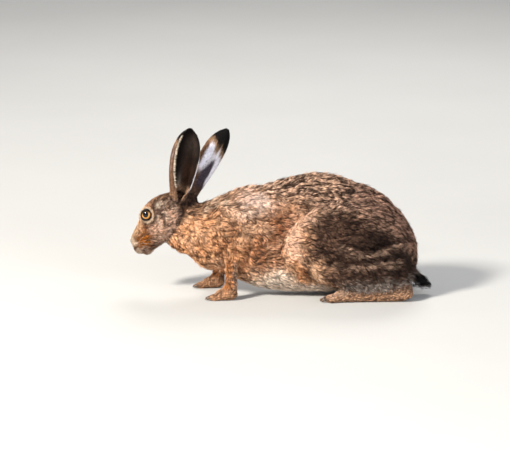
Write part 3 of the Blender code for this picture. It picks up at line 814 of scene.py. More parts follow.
def head_marks(look, points, on):
    """Markings of the head, laid in its own frame, in mm."""
    q = folded(in_head(points))
    x, y, z = q.T
    wander = wave(points, 0.010, 5, 4.0)
    wx, wz = x + wander, z + wander
    flank = ease(8, 15, y)
    whole, sides = Brush(look, on, x, z), Brush(look, on * flank, x, z)
    soft = Brush(look, on, wx, wz)
    whole.lay(1.0, GREY_BROWN, DARK_TICK, 0.38)
    whole.lay(ease(2, 14, wz) * ease(66, 86, wx), FOREHEAD, DARK_TICK, 0.40)
    whole.lay(ease(12, 20, wz) * ease(24, 12, y), FOREHEAD, DARK_TICK, 0.48)
    whole.lay(ease(4, -8, wz) * ease(30, 46, wx), CHEEK, UMBER, 0.22)
    patchy = noise(points, 0.0065, 8)
    sides.lay(ease(0.56, 0.74, patchy) * ease(14, 30, x) * 0.38, *CREAM_HAIR)
    sides.lay(ease(0.44, 0.26, patchy) * ease(14, 30, x) * 0.45, *DARK_HAIR)
    sides.spot((76, -6), (9, 12), 0.6, CHEEK_GREY, UMBER, 0.34)
    whole.lay(np.interp(x, [86, 96, 106], [0.0, 0.6, 1.0]), UMBER, DARK_TICK, 0.40)
    whole.lay(ease(48, 30, x) * ease(-8, 3, wz), SNOUT_TAN, SNOUT_BROWN, 0.26)
    soft.spot((38, -2), (8, 5), flank, RUFOUS, UMBER, 0.36)
    muzzle_marks(whole, soft, x, y, z, wz)
    sides.line([(51, -2.5), (57, -2), (62, 1)], 2.4, 1.0, UMBER, DARK_TICK, 0.6)
    sides.line([(73, -1), (74, -8), (69, -16), (64, -20)], 1.8, 0.8, *DARK_HAIR)
    for place, size in (((79, -5), 2.6), ((76, -13), 2.2), ((63, -9), 2.4), ((67, -2), 2.0)):
        sides.spot(place, (size, size * 1.3), 0.7, *CREAM_HAIR)
    sides.spot((78, 10.5), (4.2, 4.6), 1.1, *CREAM_HAIR)
    below = z - np.interp(x, JAW_X, JAW_Z) + wander * 0.4
    back = ease(44, 56, x)
    whole.lay(back * ease(108, 100, x) * ease(1.5, -2.5, below), ORANGE, RUFOUS, 0.22)
    # painted shadow along the crease between jaw and neck
    wide = np.interp(x, [50, 80, 100], [2.0, 3.0, 5.0])
    whole.lay(back * np.exp(-((below / wide) ** 2)), UMBER, DARK_TICK, 0.75)
    eye_marks(sides, points, q)
    whole.lay(ease(5.4, 3.6, nose_gap(q)), NOSE_PINK, UMBER, 0.3)
    for (path, _, _), close, colour in ((CLEFT, 0.9, UMBER), (MOUTH, 0.9, UMBER), (NOSTRIL, 1.25, BLACK)):
        whole.lay(ease(close + 0.5, close - 0.3, path_gap(q, path)[0]), colour, BLACK, 0.4)


def muzzle_marks(whole, soft, x, y, z, wz):
    """Ochre whisker pads with dark rows, pale nose, lips and chin."""
    soft.spot((21, -14), (12, 10), 1.3, OCHRE, OCHRE_DARK, 0.42)
    rows = 0.5 + 0.5 * np.sin((0.682 * x + 0.731 * z) * 2.0 * pi / 3.6)
    pad = ease(24, 14, x) * ease(-22, -16, z) * ease(2, -4, z)
    whole.lay(pad * rows * 0.8, PAD_BROWN, UMBER, 0.45)
    whole.lay(ease(13, 6, x + 0.35 * z) * ease(-16, -8, wz) * 0.8, CREAM, SNOUT_TAN, 0.25)
    whole.lay(ease(24, 14, x) * ease(-17, -24, z), LIP_TAN, UMBER, 0.28)
    whole.lay(ease(12, 5, x) * ease(-14, -19, z) * ease(-27, -24, z) * 0.5, CREAM, BUFF, 0.15)
    whole.lay(ease(-30, -37, z + 0.05 * x) * ease(20, 8, y), CREAM, BUFF, 0.2)


def eye_marks(sides, points, q):
    """Warm brow, pale ring and black edge round the eye."""
    gap = eye_gap(q)
    above = ease(-4.0, 6.0, q[:, 2] - EYE_UP - 0.3 * (q[:, 0] - EYE_BACK))
    sides.lay(above * ease(16.5, 12.0, gap), TAWNY, RUFOUS, 0.3)
    sides.lay(ease(12.2, 10.6, gap + wave(points, 0.004, 7, 1.6)), ROUND_EYE, TAWNY, 0.12)
    sides.lay(ease(9.4, 8.9, gap), *BLACK_HAIR)


def ear_marks(look, points, normals, on, side):
    """Markings of an ear: back, lining, margins and tip."""
    root, length, axis, front, opening = ear_axes(side)
    away = points - root
    share, ahead, rise = away @ axis / length, away @ front / MM, away @ opening / MM
    half = np.interp(share, EAR_ROWS[:, 0], EAR_ROWS[:, 1])
    facing = normals @ opening * (half * 0.35 - rise) - normals @ front * ahead
    lining = ease(-0.6, 0.6, facing / 4.0)
    edge = ahead / half
    wander = wave(points, 0.012, 6, 0.16)
    back = Brush(look, on * (1.0 - lining), edge + wander, share)
    cup = Brush(look, on * lining, edge + wander, share)
    fine = noise(np.stack([ahead * MM, share * 0.011, share * 0.0], axis=1), 0.0026, 14)
    back_marks(back, edge, share, rise / half, fine)
    cup_marks(cup, edge, share)
    reach = share - 0.70 - 0.07 * (back.x + 0.5) + (fine - 0.5) * 0.10
    back.lay(ease(-0.09, 0.0, reach), OLIVE_TAN, UMBER, 0.45)
    back.lay(ease(-0.01, 0.07, reach), *BLACK_HAIR)
    cup.lay(ease(0.30, 0.19, share + wander * 0.3) * 0.9, CUP_BASE, UMBER, 0.45)
    back.lay(ease(0.24, 0.12, share) * 0.6, EAR_BASE, UMBER, 0.45)
    cup.lay(ease(0.80, 0.97, np.abs(edge)) * ease(0.52, 0.66, share), *BLACK_HAIR)
    cup.lay(ease(0.90, 0.95, share), *BLACK_HAIR)
    Brush(look, on, edge, share).lay(ease(0.965, 0.985, share), *BLACK_HAIR)


def back_marks(back, edge, share, rise, fine):
    """White back of an ear, with a slate band of painted shadow up its middle and a tan front margin."""
    heights = [0.2, 0.35, 0.5, 0.63, 0.72]
    middle = np.interp(share, heights, [0.34, 0.34, 0.28, 0.14, 0.05])
    half = np.interp(share, heights, [0.86, 0.44, 0.25, 0.08, 0.04])
    # the white back of the ear, a little over white for painted light
    back.lay(1.0, EAR_WHITE_LIT, LILAC_WHITE, 0.12)
    back.lay(ease(0.5, 0.8, fine) * ease(0.86, 0.7, share) * 0.45, LILAC_GREY, SLATE, 0.3)
    # painted shadow: a slate band up the middle of the ear's back
    band = ease(1.15, 0.8, np.abs(back.x - middle) / half) * ease(0.68, 0.56, share)
    back.lay(band, SLATE, SLATE_SHADOW, 0.44)
    back.spot((0.2, 0.66), (0.4, 0.05), 0.7, EAR_WHITE_LIT, CREAM, 0.05)
    # painted shade at the root of the ear's back
    back.lay(ease(0.34, 0.18, share), UMBER, DARK_TICK, 0.45)
    curled = ease(0.12, 0.4, rise) * ease(0.35, 0.55, edge)
    margin = np.maximum(curled, ease(0.84, 0.95, edge)) * ease(0.92, 0.82, share)
    back.lay(margin, *MARGIN_HAIR)
    back.lay(ease(0.55, 0.75, edge) * ease(0.50, 0.36, share), *MARGIN_HAIR)


def cup_marks(cup, edge, share):
    """Dark brown cup of an ear, with a painted grey sheen and a painted glow in places, and paler margins.
    """
    cup.lay(1.0, EAR_BROWN, BLACK, 0.35)
    # painted sheen: greyer patches where the lining catches the light
    cup.spot((-0.42, 0.76), (0.34, 0.13), 0.5, *CUP_SHEEN)
    cup.spot((-0.2, 0.52), (0.30, 0.22), 0.2, *CUP_SHEEN)
    # painted glow of the sun shining through the lower cup
    cup.spot((-0.4, 0.40), (0.34, 0.2), 0.5, CUP_GLOW, UMBER, 0.3)
    cup.lay(blob(edge, share, (0.02, 0.24), (0.16, 0.12)) * 1.1, LILAC_GREY, UMBER, 0.2)
    cup.lay(ease(-0.88, -0.97, edge) * ease(0.62, 0.50, share), BUFF, UMBER, 0.3)
    cup.lay(ease(0.72, 0.88, edge) * ease(0.80, 0.70, share), CUP_RIM, UMBER, 0.4)


def limb_marks(look, points, normals, shares, side):
    """Markings of forearm, forepaw and hind foot, whose top and heel are browner."""
    x, _, z = locate(points).T
    arm = Brush(look, shares[f"forearm_{side}"], x, z)
    arm.lay(1.0, FOREARM_TAN, UMBER, 0.32)
    arm.lay(ease(-0.2, 0.6, normals[:, 0]), BUFF, UMBER, 0.3)
    Brush(look, shares[f"forepaw_{side}"], x, z).lay(1.0, PAW_TAN, UMBER, 0.30)
    foot = Brush(look, shares[f"hind_foot_{side}"], x, z)
    wander = wave(points, 0.012, 9, 12.0)
    foot.lay(1.0, FOOT_TAN, UMBER, 0.24)
    foot.lay(ease(0.3, 0.8, normals[:, 2]), BUFF, UMBER, 0.2)
    foot.lay(ease(10, 22, z + wander) * ease(40, 90, x) * 0.8, HEEL_BROWN, UMBER, 0.4)
    foot.lay(ease(0, 3, wander) * 0.5, FOOT_BROWN, UMBER, 0.4)


def make_marks(points, normals, shares):
    """All the markings, blended across the borders between the parts."""
    ground = np.concatenate([linear(TAWNY), linear(TICK_BROWN), [0.22]])
    look = np.tile(ground, (len(points), 1))
    body_marks(look, points, np.clip(1.0 - shares["head"], 0.0, 1.0))
    for side in SIDES:
        limb_marks(look, points, normals, shares, side)
    tail = Brush(look, shares["tail"], None, None)
    tail.lay(1.0, *BLACK_HAIR)
    tail.lay(ease(-0.1, -0.5, normals[:, 2]), WHITE, CREAM, 0.1)
    head_marks(look, points, ease(0.3, 0.7, shares["head"]))
    for side in SIDES:
        ear_marks(look, points, normals, ease(0.3, 0.7, shares[f"ear_{side}"]), side)
    return look


# Coat

def lie_field(surface, parts):
    """Way that the coat lies at each point, along the skin."""
    way = by_part(parts, LIE)
    way[parts == PARTS.index("head")] = HEAD_AXES[:, 0]
    for side in SIDES:
        way[parts == PARTS.index(f"ear_{side}")] = ear_axes(side)[2]
    way = surface.spread(way, 30)
    places = in_head(surface.points)
    for sign in SIDES.values():
        away = places - np.array([EYE_BACK, sign * EYE_OUT, EYE_UP])
        near = ease(22.0, 11.0, np.linalg.norm(away, axis=1))
        out = unit(away * [1.0, 0.0, 1.0]) @ HEAD_AXES.T
        way += near[:, None] * (out * 1.3 - way * 0.6)
    along = np.sum(way * surface.normals, axis=1, keepdims=True)
    return unit(way - along * surface.normals)


class Roots:
    """Roots drawn evenly over the skin, with what the skin says at each."""

    def __init__(self, surface, density, fields):
        tri = surface.triangles
        a, b, c = (surface.points[tri[:, k]] for k in range(3))
        area = np.linalg.norm(np.cross(b - a, c - a), axis=1) / 2 / MM**2
        wanted = np.cumsum(area * density[tri].mean(axis=1))
        self.count = int(wanted[-1])
        drawn = (np.arange(self.count) + rng.random(self.count)) / self.count * wanted[-1]
        self.corners = tri[np.minimum(np.searchsorted(wanted, drawn), len(tri) - 1)]
        u, v = rng.random(self.count), rng.random(self.count)
        flip = u + v > 1.0
        u[flip], v[flip] = 1.0 - u[flip], 1.0 - v[flip]
        weights = np.stack([1.0 - u - v, u, v], axis=1)
        for name, values in fields.items():
            at = values[self.corners]
            share = weights if at.ndim == 2 else weights[:, :, None]
            setattr(self, name, np.sum(at * share, axis=1))

    def keep(self, mask):
        """Only the roots that a mask keeps."""
        kept = object.__new__(Roots)
        for name, value in self.__dict__.items():
            kept.__dict__[name] = value[mask] if isinstance(value, np.ndarray) else value
        kept.count = int(mask.sum())
        return kept


def gather_locks(roots):
    """Locks of hair: the tufts round a centre share its lie, rise, shade and tick."""
    scaled = roots.place * STREAK
    share = 1.0 / np.maximum(roots.thick * roots.lock**2 * 1.5, 1.5)
    centres = np.flatnonzero(rng.random(roots.count) < share)
    count = len(centres)
    tree = KDTree(count)
    for index, centre in enumerate(centres):
        tree.insert(scaled[centre], index)
    tree.balance()
    found = [tree.find(place)[1:] for place in scaled]
    near = np.array([hit[0] for hit in found])
    roots.gap = np.clip(np.array([hit[1] for hit in found]) / MM / roots.lock, 0.0, 1.0)
    roots.lock_turn = rng.normal(0.0, LOCK_TURN, count)[near]
    roots.rise = vary(0.40, 0.95, count)[near]
    roots.shade = vary(0.58, 0.76, count)[near]
    shared = rng.random(roots.count) < TICK_SHARED
    roots.draw = np.where(shared, rng.random(count)[near], rng.random(roots.count))
    roots.centre_place = roots.place[centres[near]]
    roots.centre_normal = unit(roots.normal)[centres[near]]


def turned(vectors, normals, angles):
    """Vectors turned about the normals."""
    c, s = np.cos(angles)[:, None], np.sin(angles)[:, None]
    return vectors * c + np.cross(normals, vectors) * s


def tuft_colours(roots):
    """Colours at root, middle and tip of each tuft: the banding of a hair, with painted shade."""
    pale, dark = roots.look[:, :3], roots.look[:, 3:6]
    ticked = (roots.draw < roots.look[:, 6])[:, None]
    # painted shade: each tuft darker towards the edge of its lock, in the gaps between locks
    shade = (roots.shade * vary(0.76, 0.46, roots.count) * (1.22 - 0.60 * roots.gap))[:, None]
    middle = np.where(ticked, dark * 0.9 + pale * 0.1, pale) * shade
    tip = np.where(ticked, dark * 0.75 * shade, pale * shade * 1.22)
    # the root is darkest: partly the hair's own dark base, partly painted shade deep in the coat
    tones = np.stack([middle * 0.32, middle, tip], axis=1)
    return tones / np.maximum(tones.max(axis=2, keepdims=True) / 0.92, 1.0)


def lay_tufts(roots, tree):
    """Spine of each tuft: root, middle and tip, drawn to those of its lock."""
    c = roots.centre_place
    curl = wave(c, 0.016, 11, 1.4) + wave(c, 0.007, 12, 1.1)
    turn = curl * roots.swirl + roots.lock_turn * (0.6 + 0.6 * roots.swirl)
    normal = unit(roots.normal)
    lie = unit(turned(roots.lie, normal, turn + rng.normal(0.0, TUFT_TURN, roots.count)))
    shared = unit(turned(roots.lie, normal, turn))
    stray = rng.random(roots.count) < STRAY_SHARE
    length = roots.length * MM * vary(0.78, 0.44, roots.count) * np.where(stray, 1.2, 1.0)
    rise = roots.depth * MM * (0.34 + 0.62 * roots.rise * (1.1 - 0.45 * roots.gap))
    rise = rise * np.where(stray, 1.5, 1.0)
    drawn = roots.pull * (normal * roots.centre_normal).sum(axis=1).clip(0.0, 1.0) * (~stray)
    spine, ups = [roots.place - normal * ROOT_SINK], [normal]
    for t, lift, draw in ((0.5, 0.78, 0.35), (1.0, 1.0, 1.0)):
        own = roots.place + lie * (length * t)[:, None]
        common = c + shared * (roots.length * MM * t)[:, None]
        reach = own + (common - own) * (drawn * draw)[:, None] + normal * (rise * lift)[:, None]
        found = [tree.find_nearest(Vector(point)) for point in reach]
        up = np.array([hit[1] for hit in found])
        spine.append(np.array([hit[0] for hit in found]) + up * (rise * lift)[:, None])
        ups.append(up)
    return spine, ups, unit(np.cross(lie, normal))


def tuft_mesh(name, spine, ups, side, width, colours, cells):
    """Slim, ridged, tapered tufts along their spines, each a patch of the map OFBake."""
    count = len(width)
    points = np.empty((count, 7, 3))
    for ring, wide in enumerate(TUFT_WIDTHS):
        half = side * (width * wide / 2)[:, None]
        points[:, ring * 3] = spine[ring] - half
        points[:, ring * 3 + 1] = spine[ring] + half
        points[:, ring * 3 + 2] = spine[ring] + ups[ring] * (width * wide * TUFT_RIDGE)[:, None]
    points[:, 6] = spine[2]
    points[:, :, 2] = np.maximum(points[:, :, 2], GROUND_GAP)
    pattern = [(0, 2, 1)]
    for a, b in ((0, 1), (1, 2), (2, 0)):
        pattern += [(a, b, b + 3), (a, b + 3, a + 3), (a + 3, b + 3, 6)]
    faces = (np.arange(count)[:, None, None] * 7 + np.array(pattern)).reshape(-1, 3)
    mesh = mesh_from_arrays(name, points.reshape(-1, 3), faces)
    paint(mesh, colours[:, [0, 0, 0, 1, 1, 1, 2]].reshape(-1, 3))
    local = np.array([(0, 0), (1, 0), (0.5, 0), (0, 0.6), (1, 0.6), (0.5, 0.6), (0.5, 1.0)])
    uv = cells[:, None, :] + (local - 0.5)[None] * PATCH
    layer = mesh.uv_layers.new(name="OFBake")
    layer.data.foreach_set("uv", uv.reshape(-1, 2)[faces.ravel()].astype(np.float32).ravel())
    print(name, "tufts", count, "triangles", count * 10)
    return link(name, mesh)


def make_tufts(name, roots, tree, cells):
    """One piece of the coat."""
    spine, ups, side = lay_tufts(roots, tree)
    width = roots.width * MM * vary(0.75, 0.5, roots.count)
    return tuft_mesh(name, spine, ups, side, width, tuft_colours(roots), cells)


def make_fringe():
    """Pale hairs on the front rim of each ear, in short combs across the cup."""
    hairs = []
    for slot, side in enumerate(SIDES):
        bright = vary(0.7, 0.45, COMBS)
        reach = vary(0.7, 0.6, COMBS)
        for k in range(COMBS * COMB_HAIRS):
            comb = k // COMB_HAIRS
            hairs.append(fringe_hair(side, slot, comb, bright[comb], reach[comb]))
    root, middle, tip, up, across, width, colours, cells = (np.array(part) for part in zip(*hairs))
    return tuft_mesh("coat_fringe", [root, middle, tip], [up, up], across, width, colours, cells)


def fringe_hair(side, slot, comb, bright, reach):
    """Root, middle, tip, two ways across, width, colours and map cell of a hair."""
    grid = EAR_LINING[side]
    _, _, axis, _, opening = ear_axes(side)
    last = EAR_WIDTHS - 1
    share = 0.24 + 0.60 * (comb + 0.5 + 0.28 * rng.normal()) / COMBS
    row = min(max(share * EAR_LENGTHS, 0.0), EAR_LENGTHS - 1.001)
    low = int(row)
    column = last - int(rng.integers(0, 5))
    place = grid[low, column] + (grid[low + 1, column] - grid[low, column]) * (row - low)
    tangent = unit(grid[low, last] - grid[low, last - 4])
    way = unit(tangent + opening * 0.30 + axis * (0.20 + 0.22 * rng.normal()))
    fade = sin(pi * min(max((share - 0.20) / 0.70, 0.0), 1.0))
    length = (vary(2.0, 2.6) + 2.2 * fade * reach) * MM
    up = unit(np.cross(np.cross(way, opening), way))
    width = vary(0.34, 0.22) * MM
    tint = linear(CREAM) * vary(0.42, 0.42) * bright
    colours = [linear(LILAC_GREY) * 0.6, tint, np.clip(tint * 1.15, 0.0, 0.9)]
    cell = [vary(slot + 0.1, 0.8) / 2.0, 0.05 + 0.9 * share]
    middle = place + way * length * 0.5 + up * 0.0003
    return place - way * 0.0008, middle, place + way * length, up, np.cross(way, up), width, colours, cell


def unwrap(places, parts, names):
    """Each part unrolled round its longest way, in a cell of its own of the map."""
    columns = ceil(sqrt(len(names)))
    rows = ceil(len(names) / columns)
    uv = np.zeros((len(places), 2))
    for slot, name in enumerate(names):
        mine = parts == PARTS.index(name)
        if mine.sum() < 3:
            continue
        centred = places[mine] - places[mine].mean(axis=0)
        _, axes = np.linalg.eigh(centred.T @ centred)
        along = centred @ axes[:, 2]
        angle = np.arctan2(centred @ axes[:, 0], centred @ axes[:, 1])
        u = (angle + pi) / (2 * pi)
        v = (along - along.min()) / (along.max() - along.min())
        uv[mine, 0] = (slot % columns + 0.03 + 0.94 * u) / columns
        uv[mine, 1] = (slot // columns + 0.03 + 0.94 * v) / rows
    return uv


def coat_fields(surface, parts, shares, look):
    """What the skin says at each point about the tufts that grow there."""
    rows = surface.spread(by_part(parts, COAT), 10)
    depth, length, width, density, lock = rows.T.copy()
    q = folded(in_head(surface.points))
    face = ease(0.3, 0.7, shares["head"])
    ears = np.clip(shares["ear_left"] + shares["ear_right"], 0.0, 1.0)
    muzzle = face * before(q, 42.0, 8.0)
    flank = ease(2.0, 8.0, q[:, 1]) * face
    close = flank * ease(14.0, 9.0, eye_gap(q))
    depth *= (1.0 - 0.65 * muzzle) * (1.0 + 0.9 * shares["tail"]) * (1.0 - 0.5 * close)
    length *= (1.0 - 0.5 * muzzle) * (1.0 - 0.5 * close)
    width *= 1.0 - 0.25 * muzzle
    density *= (1.0 + 0.5 * muzzle) * (1.0 - flank * ease(9.3, 8.8, eye_gap(q)))
    density *= 1.0 - face * ease(5.0, 3.6, nose_gap(q))
    for path, wide, _ in (CLEFT, MOUTH, NOSTRIL):
        line, _ = path_gap(q, path)
        density *= 1.0 - face * np.exp(-((line / (wide + 0.5)) ** 2))
        length *= 1.0 - 0.5 * face * np.exp(-((line / 3.0) ** 2))
    x, _, z = locate(surface.points).T
    swirl = (1.1 - 0.6 * back_band(x, z)) * (1.0 - 0.7 * np.clip(face + ears, 0.0, 1.0))
    return {
        "place": surface.points, "normal": surface.normals, "lie": lie_field(surface, parts),
        "length": length, "depth": depth, "width": width, "thick": density,
        "lock": lock * (1.0 - 0.4 * muzzle), "pull": 0.48 * (1.0 - ears) * (1.0 - 0.4 * face),
        "look": look, "swirl": swirl, "ears": ears,
    }


def make_coat(skin, material):
    """All the pieces of the coat over the skin, and the skin's markings, darkened as painted shade."""
    surface = Surface(skin)
    parts = nearest_part(surface.points)
    shares = {
        name: surface.spread((parts == index).astype(float), 6) for index, name in enumerate(PARTS)
    }
    look = make_marks(surface.points, surface.normals, shares)
    fields = coat_fields(surface, parts, shares, look)
    roots = Roots(surface, fields["thick"] * (1.0), fields)
    gather_locks(roots)
    tree = BVHTree.FromPolygons(surface.points.tolist(), surface.triangles.tolist())
    owner = parts[roots.corners[:, 0]]
    out = in_head(roots.place)[:, 1]
    pieces = []
    for name, (names, stretch) in COAT_PIECES.items():
        mine = np.isin(owner, [PARTS.index(part) for part in names])
        if stretch is not None:
            mine &= (roots.place[:, 0] >= stretch[0] * MM) & (roots.place[:, 0] < stretch[1] * MM)
        if name.startswith("coat_head"):
            mine &= out < 0.0 if name.endswith("left") else out >= 0.0
        chosen = roots.keep(mine)
        pieces.append(make_tufts(name, chosen, tree, unwrap(chosen.place, owner[mine], names)))
    pieces.append(make_fringe())
    for piece in pieces:
        piece.data.materials.append(material)
    ticks = look[:, 6:]
    average = look[:, :3] * (1.0 - ticks) + look[:, 3:6] * ticks
    naked = 1.0 - np.clip(fields["thick"] / 0.5, 0.0, 1.0)
    # the skin takes the markings' average, darkened as painted shade under the coat, less where it is thin
    # and on the ears
    paint(skin.data, average * np.minimum(0.48 + 0.52 * naked + 0.34 * fields["ears"], 1.0)[:, None])
    return pieces, tree


# Materials

def add_node(tree, kind, **values):
    node = tree.nodes.new(kind)
    for key, value in values.items():
        if key in node.inputs:
            node.inputs[key].default_value = value
        else:
            setattr(node, key, value)
    return node


def speckled(name, fine, ramp, shading, colour=None, stretch=1.0, detail=3.0, bump=0.0):
    """The mesh's markings, or one colour, broken up by fine noise, with a bump of it.

    The ramp gives the noise where it starts and ends, and the shades there.
    """
    material = bpy.data.materials.new(name)
    material.use_nodes = True
    tree = material.node_tree
    shader = tree.nodes["Principled BSDF"]
    for key, value in shading.items():
        shader.inputs[key].default_value = value
    place = add_node(tree, "ShaderNodeTexCoord")
    scale = add_node(tree, "ShaderNodeMapping", Scale=(fine * stretch, fine, fine))
    speck = add_node(tree, "ShaderNodeTexNoise", Scale=1.0, Detail=detail)
    ends = dict(zip(("From Min", "From Max", "To Min", "To Max"), ramp))
    shade = add_node(tree, "ShaderNodeMapRange", **ends)
    mix = add_node(tree, "ShaderNodeVectorMath", operation="SCALE")
    wires = [
        (place, "Object", scale, "Vector"), (scale, "Vector", speck, "Vector"),
        (speck, "Fac", shade, "Value"), (shade, "Result", mix, "Scale"),
        (mix, "Vector", shader, "Base Color"),
    ]
    if colour is None:
        wires.append((add_node(tree, "ShaderNodeAttribute", attribute_name="Coat"), "Color", mix, 0))
    else:
        mix.inputs[0].default_value = linear(colour)
    if bump:
        relief = add_node(tree, "ShaderNodeBump", Strength=bump, Distance=0.0006)
        wires += [(speck, "Fac", relief, "Height"), (relief, "Normal", shader, "Normal")]
    for start, out, end, into in wires:
        tree.links.new(start.outputs[out], end.inputs[into])
    return material


def coat_material(name, fine, bump, roughness):
    """Markings of the coat with a bump of fine hair."""
    shading = {"Roughness": roughness, "Specular IOR Level": 0.14}
    return speckled(name, fine, (0.3, 0.7, 0.78, 1.18), shading, stretch=0.3, bump=bump)


def plain_material(name, colour, roughness, fine, mottle=0.6, specular=0.5):
    """One colour with fine darker mottling, for claws, lids, whiskers and floor."""
    shading = {"Roughness": roughness, "Specular IOR Level": specular}
    return speckled(name, fine, (0.3, 0.7, mottle, 1.0), shading, colour)


def eye_material():
    """Amber iris with fine speckle, black pupil and a dark rim, under a wet gloss."""
    gloss = {"Roughness": 0.06, "Specular IOR Level": 0.0, "Coat Weight": 0.75, "Coat Roughness": 0.02}
    return speckled("eye_gloss", 900.0, (0.0, 1.0, 0.75, 1.25), gloss, detail=2.0)


# Eyes and lids

def head_place(x, y, z):
    return HEAD @ (Vector((x, y, z)) * MM)


def make_eye(side, sign, material):
    """Ball with a raised cornea, marked by the way from its axis."""
    seat = sqrt(EYE_RADIUS**2 - CORNEA_EDGE**2) - sqrt(CORNEA_RADIUS**2 - CORNEA_EDGE**2)
    sky = Vector((0.0, 0.0, 1.0))
    axis = Vector((0.07, sign, 0.13)).normalized()
    across = sky.cross(axis).normalized()
    up = axis.cross(across)
    skyward = HEAD.to_3x3().transposed() @ sky
    amber, pale = linear(AMBER), linear(AMBER_PALE)
    points, colours = [], []
    for polar in np.linspace(0.0, pi, EYE_RINGS + 1):
        off, deep = EYE_RADIUS * sin(polar), EYE_RADIUS * cos(polar)
        front = polar < pi / 2
        if front and off < CORNEA_EDGE:
            deep = seat + sqrt(CORNEA_RADIUS**2 - off**2)
        iris = ease(PUPIL - 0.25, PUPIL + 0.25, off) * ease(LIMBUS, IRIS, off) * front
        tone = (amber + (pale - amber) * ease(IRIS, PUPIL, off)) * iris
        # pupil near black with a faint blue of painted sky reflection
        deep_tone = linear(PUPIL_SKY_TINT) if off < PUPIL + 0.3 else linear(BLACK) * 0.4
        for angle in np.arange(EYE_AROUND) * 2 * pi / EYE_AROUND:
            radial = across * cos(angle) + up * sin(angle)
            point = Vector((EYE_BACK, sign * EYE_OUT, EYE_UP)) + axis * deep + radial * off
            points.append(head_place(*point))
            # painted shadow of the upper lid over the top of the iris
            shade = 1.0 - 0.92 * ease(-0.30, 0.60, radial.dot(skyward) - 0.30 * radial.x)
            colours.append(tone * shade + deep_tone * (1 - iris))
    faces = ring_faces(EYE_RINGS + 1, EYE_AROUND)
    return make_piece(f"eyeball_{side}", points, faces, material, np.array(colours))


def lid_radius(angle, radius):
    """Reach of the opening: nearly round, low above, drawn out to a corner at each end."""
    behind = max(0.0, cos(angle - radians(-12))) ** 10
    ahead = max(0.0, cos(angle - radians(184))) ** 12
    above = max(0.0, cos(angle - radians(75))) ** 3
    return radius * (1.0 + 0.20 * behind + 0.10 * ahead - 0.07 * above)


def make_lids(side, sign, material):
    """Dark rim of the lids: a rounded almond band on the ball, thickest above."""
    steps = np.linspace(0.0, 1.0, LID_ACROSS)
    points = []
    for angle in np.arange(LID_AROUND) * 2 * pi / LID_AROUND:
        above = max(0.0, cos(angle - radians(75)))
        inner, outer = lid_radius(angle, LID_INNER), lid_radius(angle, LID_OUTER)

        def place(reach, out):
            across, up = reach * cos(angle), reach * sin(angle)
            points.append(head_place(EYE_BACK + across, sign * (EYE_OUT + out), EYE_UP + up))

        for t in steps:
            reach = inner + (outer - inner) * t
            seat = sqrt(EYE_RADIUS**2 - min(reach, EYE_RADIUS * 0.93) ** 2)
            lift = (0.55 + 0.35 * above) * sin(pi * min(t * 0.7 + 0.1, 1.0)) + 0.7 * t
            place(reach, seat + lift)
        for t in steps[::-1]:
            place((inner + (outer - inner) * t) * 0.97, 5.4 - 2.4 * t)
    faces = ring_faces(LID_AROUND + 1, LID_ACROSS * 2) % len(points)
    return make_piece(f"lids_{side}", points, faces, material)


# Whiskers and claws

def tapered_tube(points, radii, sides):
    """Rings round a path."""
    path = np.array(points)
    along = unit(np.gradient(path, axis=0))
    side = unit(np.cross(along, [0.31, 0.17, 0.93]))
    up = np.cross(side, along)
    angle = (np.arange(sides) * 2 * pi / sides)[:, None]
    rings = [
        path[k] + radii[k] * (np.cos(angle) * side[k] + np.sin(angle) * up[k]) for k in range(len(path))
    ]
    return np.concatenate(rings), ring_faces(len(path), sides)


def join_tubes(name, tubes, material):
    """One piece of tubes that all have as many points."""
    points = np.concatenate([points for points, _ in tubes])
    faces = np.concatenate([faces + k * len(points) // len(tubes) for k, (_, faces) in enumerate(tubes)])
    return make_piece(name, points, faces, material)


def make_whiskers(tree, material):
    """Long fine bristles in rows on the whisker pads, swept back and down."""
    tubes = []
    stations = np.linspace(0.0, 1.0, 8)
    for sign in SIDES.values():
        for row in range(WHISKER_ROWS):
            for k in range(ROW_WHISKERS):
                start = head_place(7 + 4.2 * k, sign * (11 + 1.2 * k), -13 - 3.4 * row + 0.8 * k)
                place, normal, _, _ = tree.find_nearest(start)
                length = vary(30 + 7 * k, 4) * MM
                swept = Vector((0.45 + 0.12 * k, sign * 0.85, 0.12 - 0.22 * row))
                way = (HEAD.to_3x3() @ swept).normalized()
                drop = Vector((0.25, 0.0, -1.0)) * vary(0.12, 0.08)
                root = place - normal * 0.001
                path = [root + way * (length * t) + drop * (length * t * t) for t in stations]
                tubes.append(tapered_tube(path, WHISKER_RADIUS * (1.0 - 0.88 * stations), 5))
    return join_tubes("whiskers", tubes, material)


def make_claws(material):
    """Short curved claws at the tips of the toes, placed by the box of each foot."""
    tubes = []
    for side in SIDES:
        for foot, spread, radius, size in (("hind_foot", 9.5, 5.6, 1.0), ("forepaw", 7.5, 4.6, 0.85)):
            low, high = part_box(f"{foot}_{side}")
            for place in np.linspace(-1.0, 1.0, TOES):
                x = low.x / MM + 6.5 + 3.2 * abs(place)
                y = (low.y + high.y) / 2 / MM + place * spread * 0.98
                path = [
                    (x + 4 * size, y, radius * 0.95), (x, y, radius * 0.92),
                    (x - 3.2 * size, y - place * 0.3, radius * 0.62),
                    (x - 6.0 * size, y - place * 0.5, radius * 0.22),
                ]
                radii = np.array([1.5, 1.4, 1.0, 0.25]) * MM * size
                tubes.append(tapered_tube(np.array(path) * MM, radii, 8))
    return join_tubes("claws", tubes, material)


# Stage

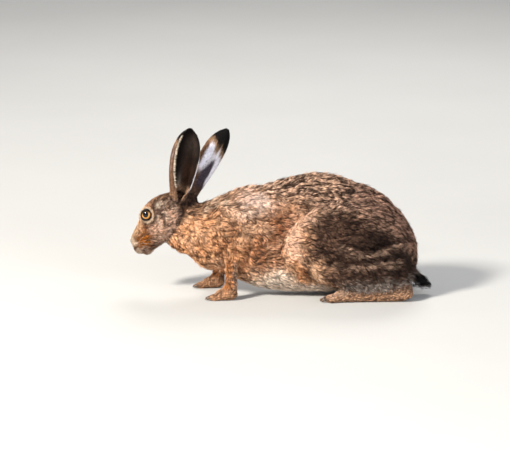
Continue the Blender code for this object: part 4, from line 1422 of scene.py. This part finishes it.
def make_stage():
    corners = np.array([(-6, -6, 0), (6, -6, 0), (6, 8, 0), (-6, 8, 0)], dtype=float)
    floor = link("floor", mesh_from_arrays("floor", corners, np.array([(0, 1, 2, 3)])))
    floor.data.materials.append(plain_material("pale_floor", FLOOR_GREY, 0.9, 3.0, 0.96))
    world = bpy.data.worlds.new("studio")
    world.use_nodes = True
    world.node_tree.nodes["Background"].inputs["Color"].default_value = SKY
    world.node_tree.nodes["Background"].inputs["Strength"].default_value = SKY_STRENGTH
    bpy.context.scene.world = world
    for name, place, size, power, colour in LAMPS:
        light = bpy.data.lights.new(name, "AREA")
        light.size = size
        light.energy = power
        light.color = colour
        lamp = link(name, light)
        lamp.location = place
        lamp.rotation_euler = (Vector((0.0, 0.0, 0.1)) - Vector(place)).to_track_quat("-Z", "Y").to_euler()


def make_camera():
    lens = bpy.data.cameras.new("camera")
    lens.sensor_width = 36.0
    lens.lens = lens.sensor_width * CAMERA_DISTANCE / FRAME_WIDTH
    lens.clip_end = 50.0
    camera = link("camera", lens)
    back = Vector((0.0, -cos(CAMERA_ELEVATION), sin(CAMERA_ELEVATION)))
    camera.location = CAMERA_TARGET + back * CAMERA_DISTANCE
    camera.rotation_euler = (-back).to_track_quat("-Z", "Y").to_euler()
    bpy.context.scene.camera = camera
    bpy.context.scene.view_settings.view_transform = "Standard"


def main():
    make_camera()
    make_stage()
    coat = coat_material("coat_fur", 900.0, 0.15, 0.72)
    under = coat_material("skin_fur", 700.0, 0.8, 0.85)
    dark = plain_material("lid_skin", LID_SHADE, 0.55, 600.0, specular=0.12)
    horn = plain_material("claw_horn", HORN, 0.4, 500.0)
    bristle = plain_material("whisker", BRISTLE, 0.5, 300.0)
    eye = eye_material()

    skin = make_skin()
    pieces, tree = make_coat(skin, coat)
    skin.data.materials.clear()
    skin.data.materials.append(under)
    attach(skin, "root")
    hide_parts(*PARTS)
    for piece in pieces:
        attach(piece, "root")
    for side, sign in SIDES.items():
        ball = make_eye(side, sign, eye)
        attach(ball, "root")
        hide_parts(f"eye_{side}")
        lids = make_lids(side, sign, dark)
        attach(lids, "root")
    for piece, slot in ((make_whiskers(tree, bristle), "claw"), (make_claws(horn), "claw")):
        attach(piece, "root")


main()
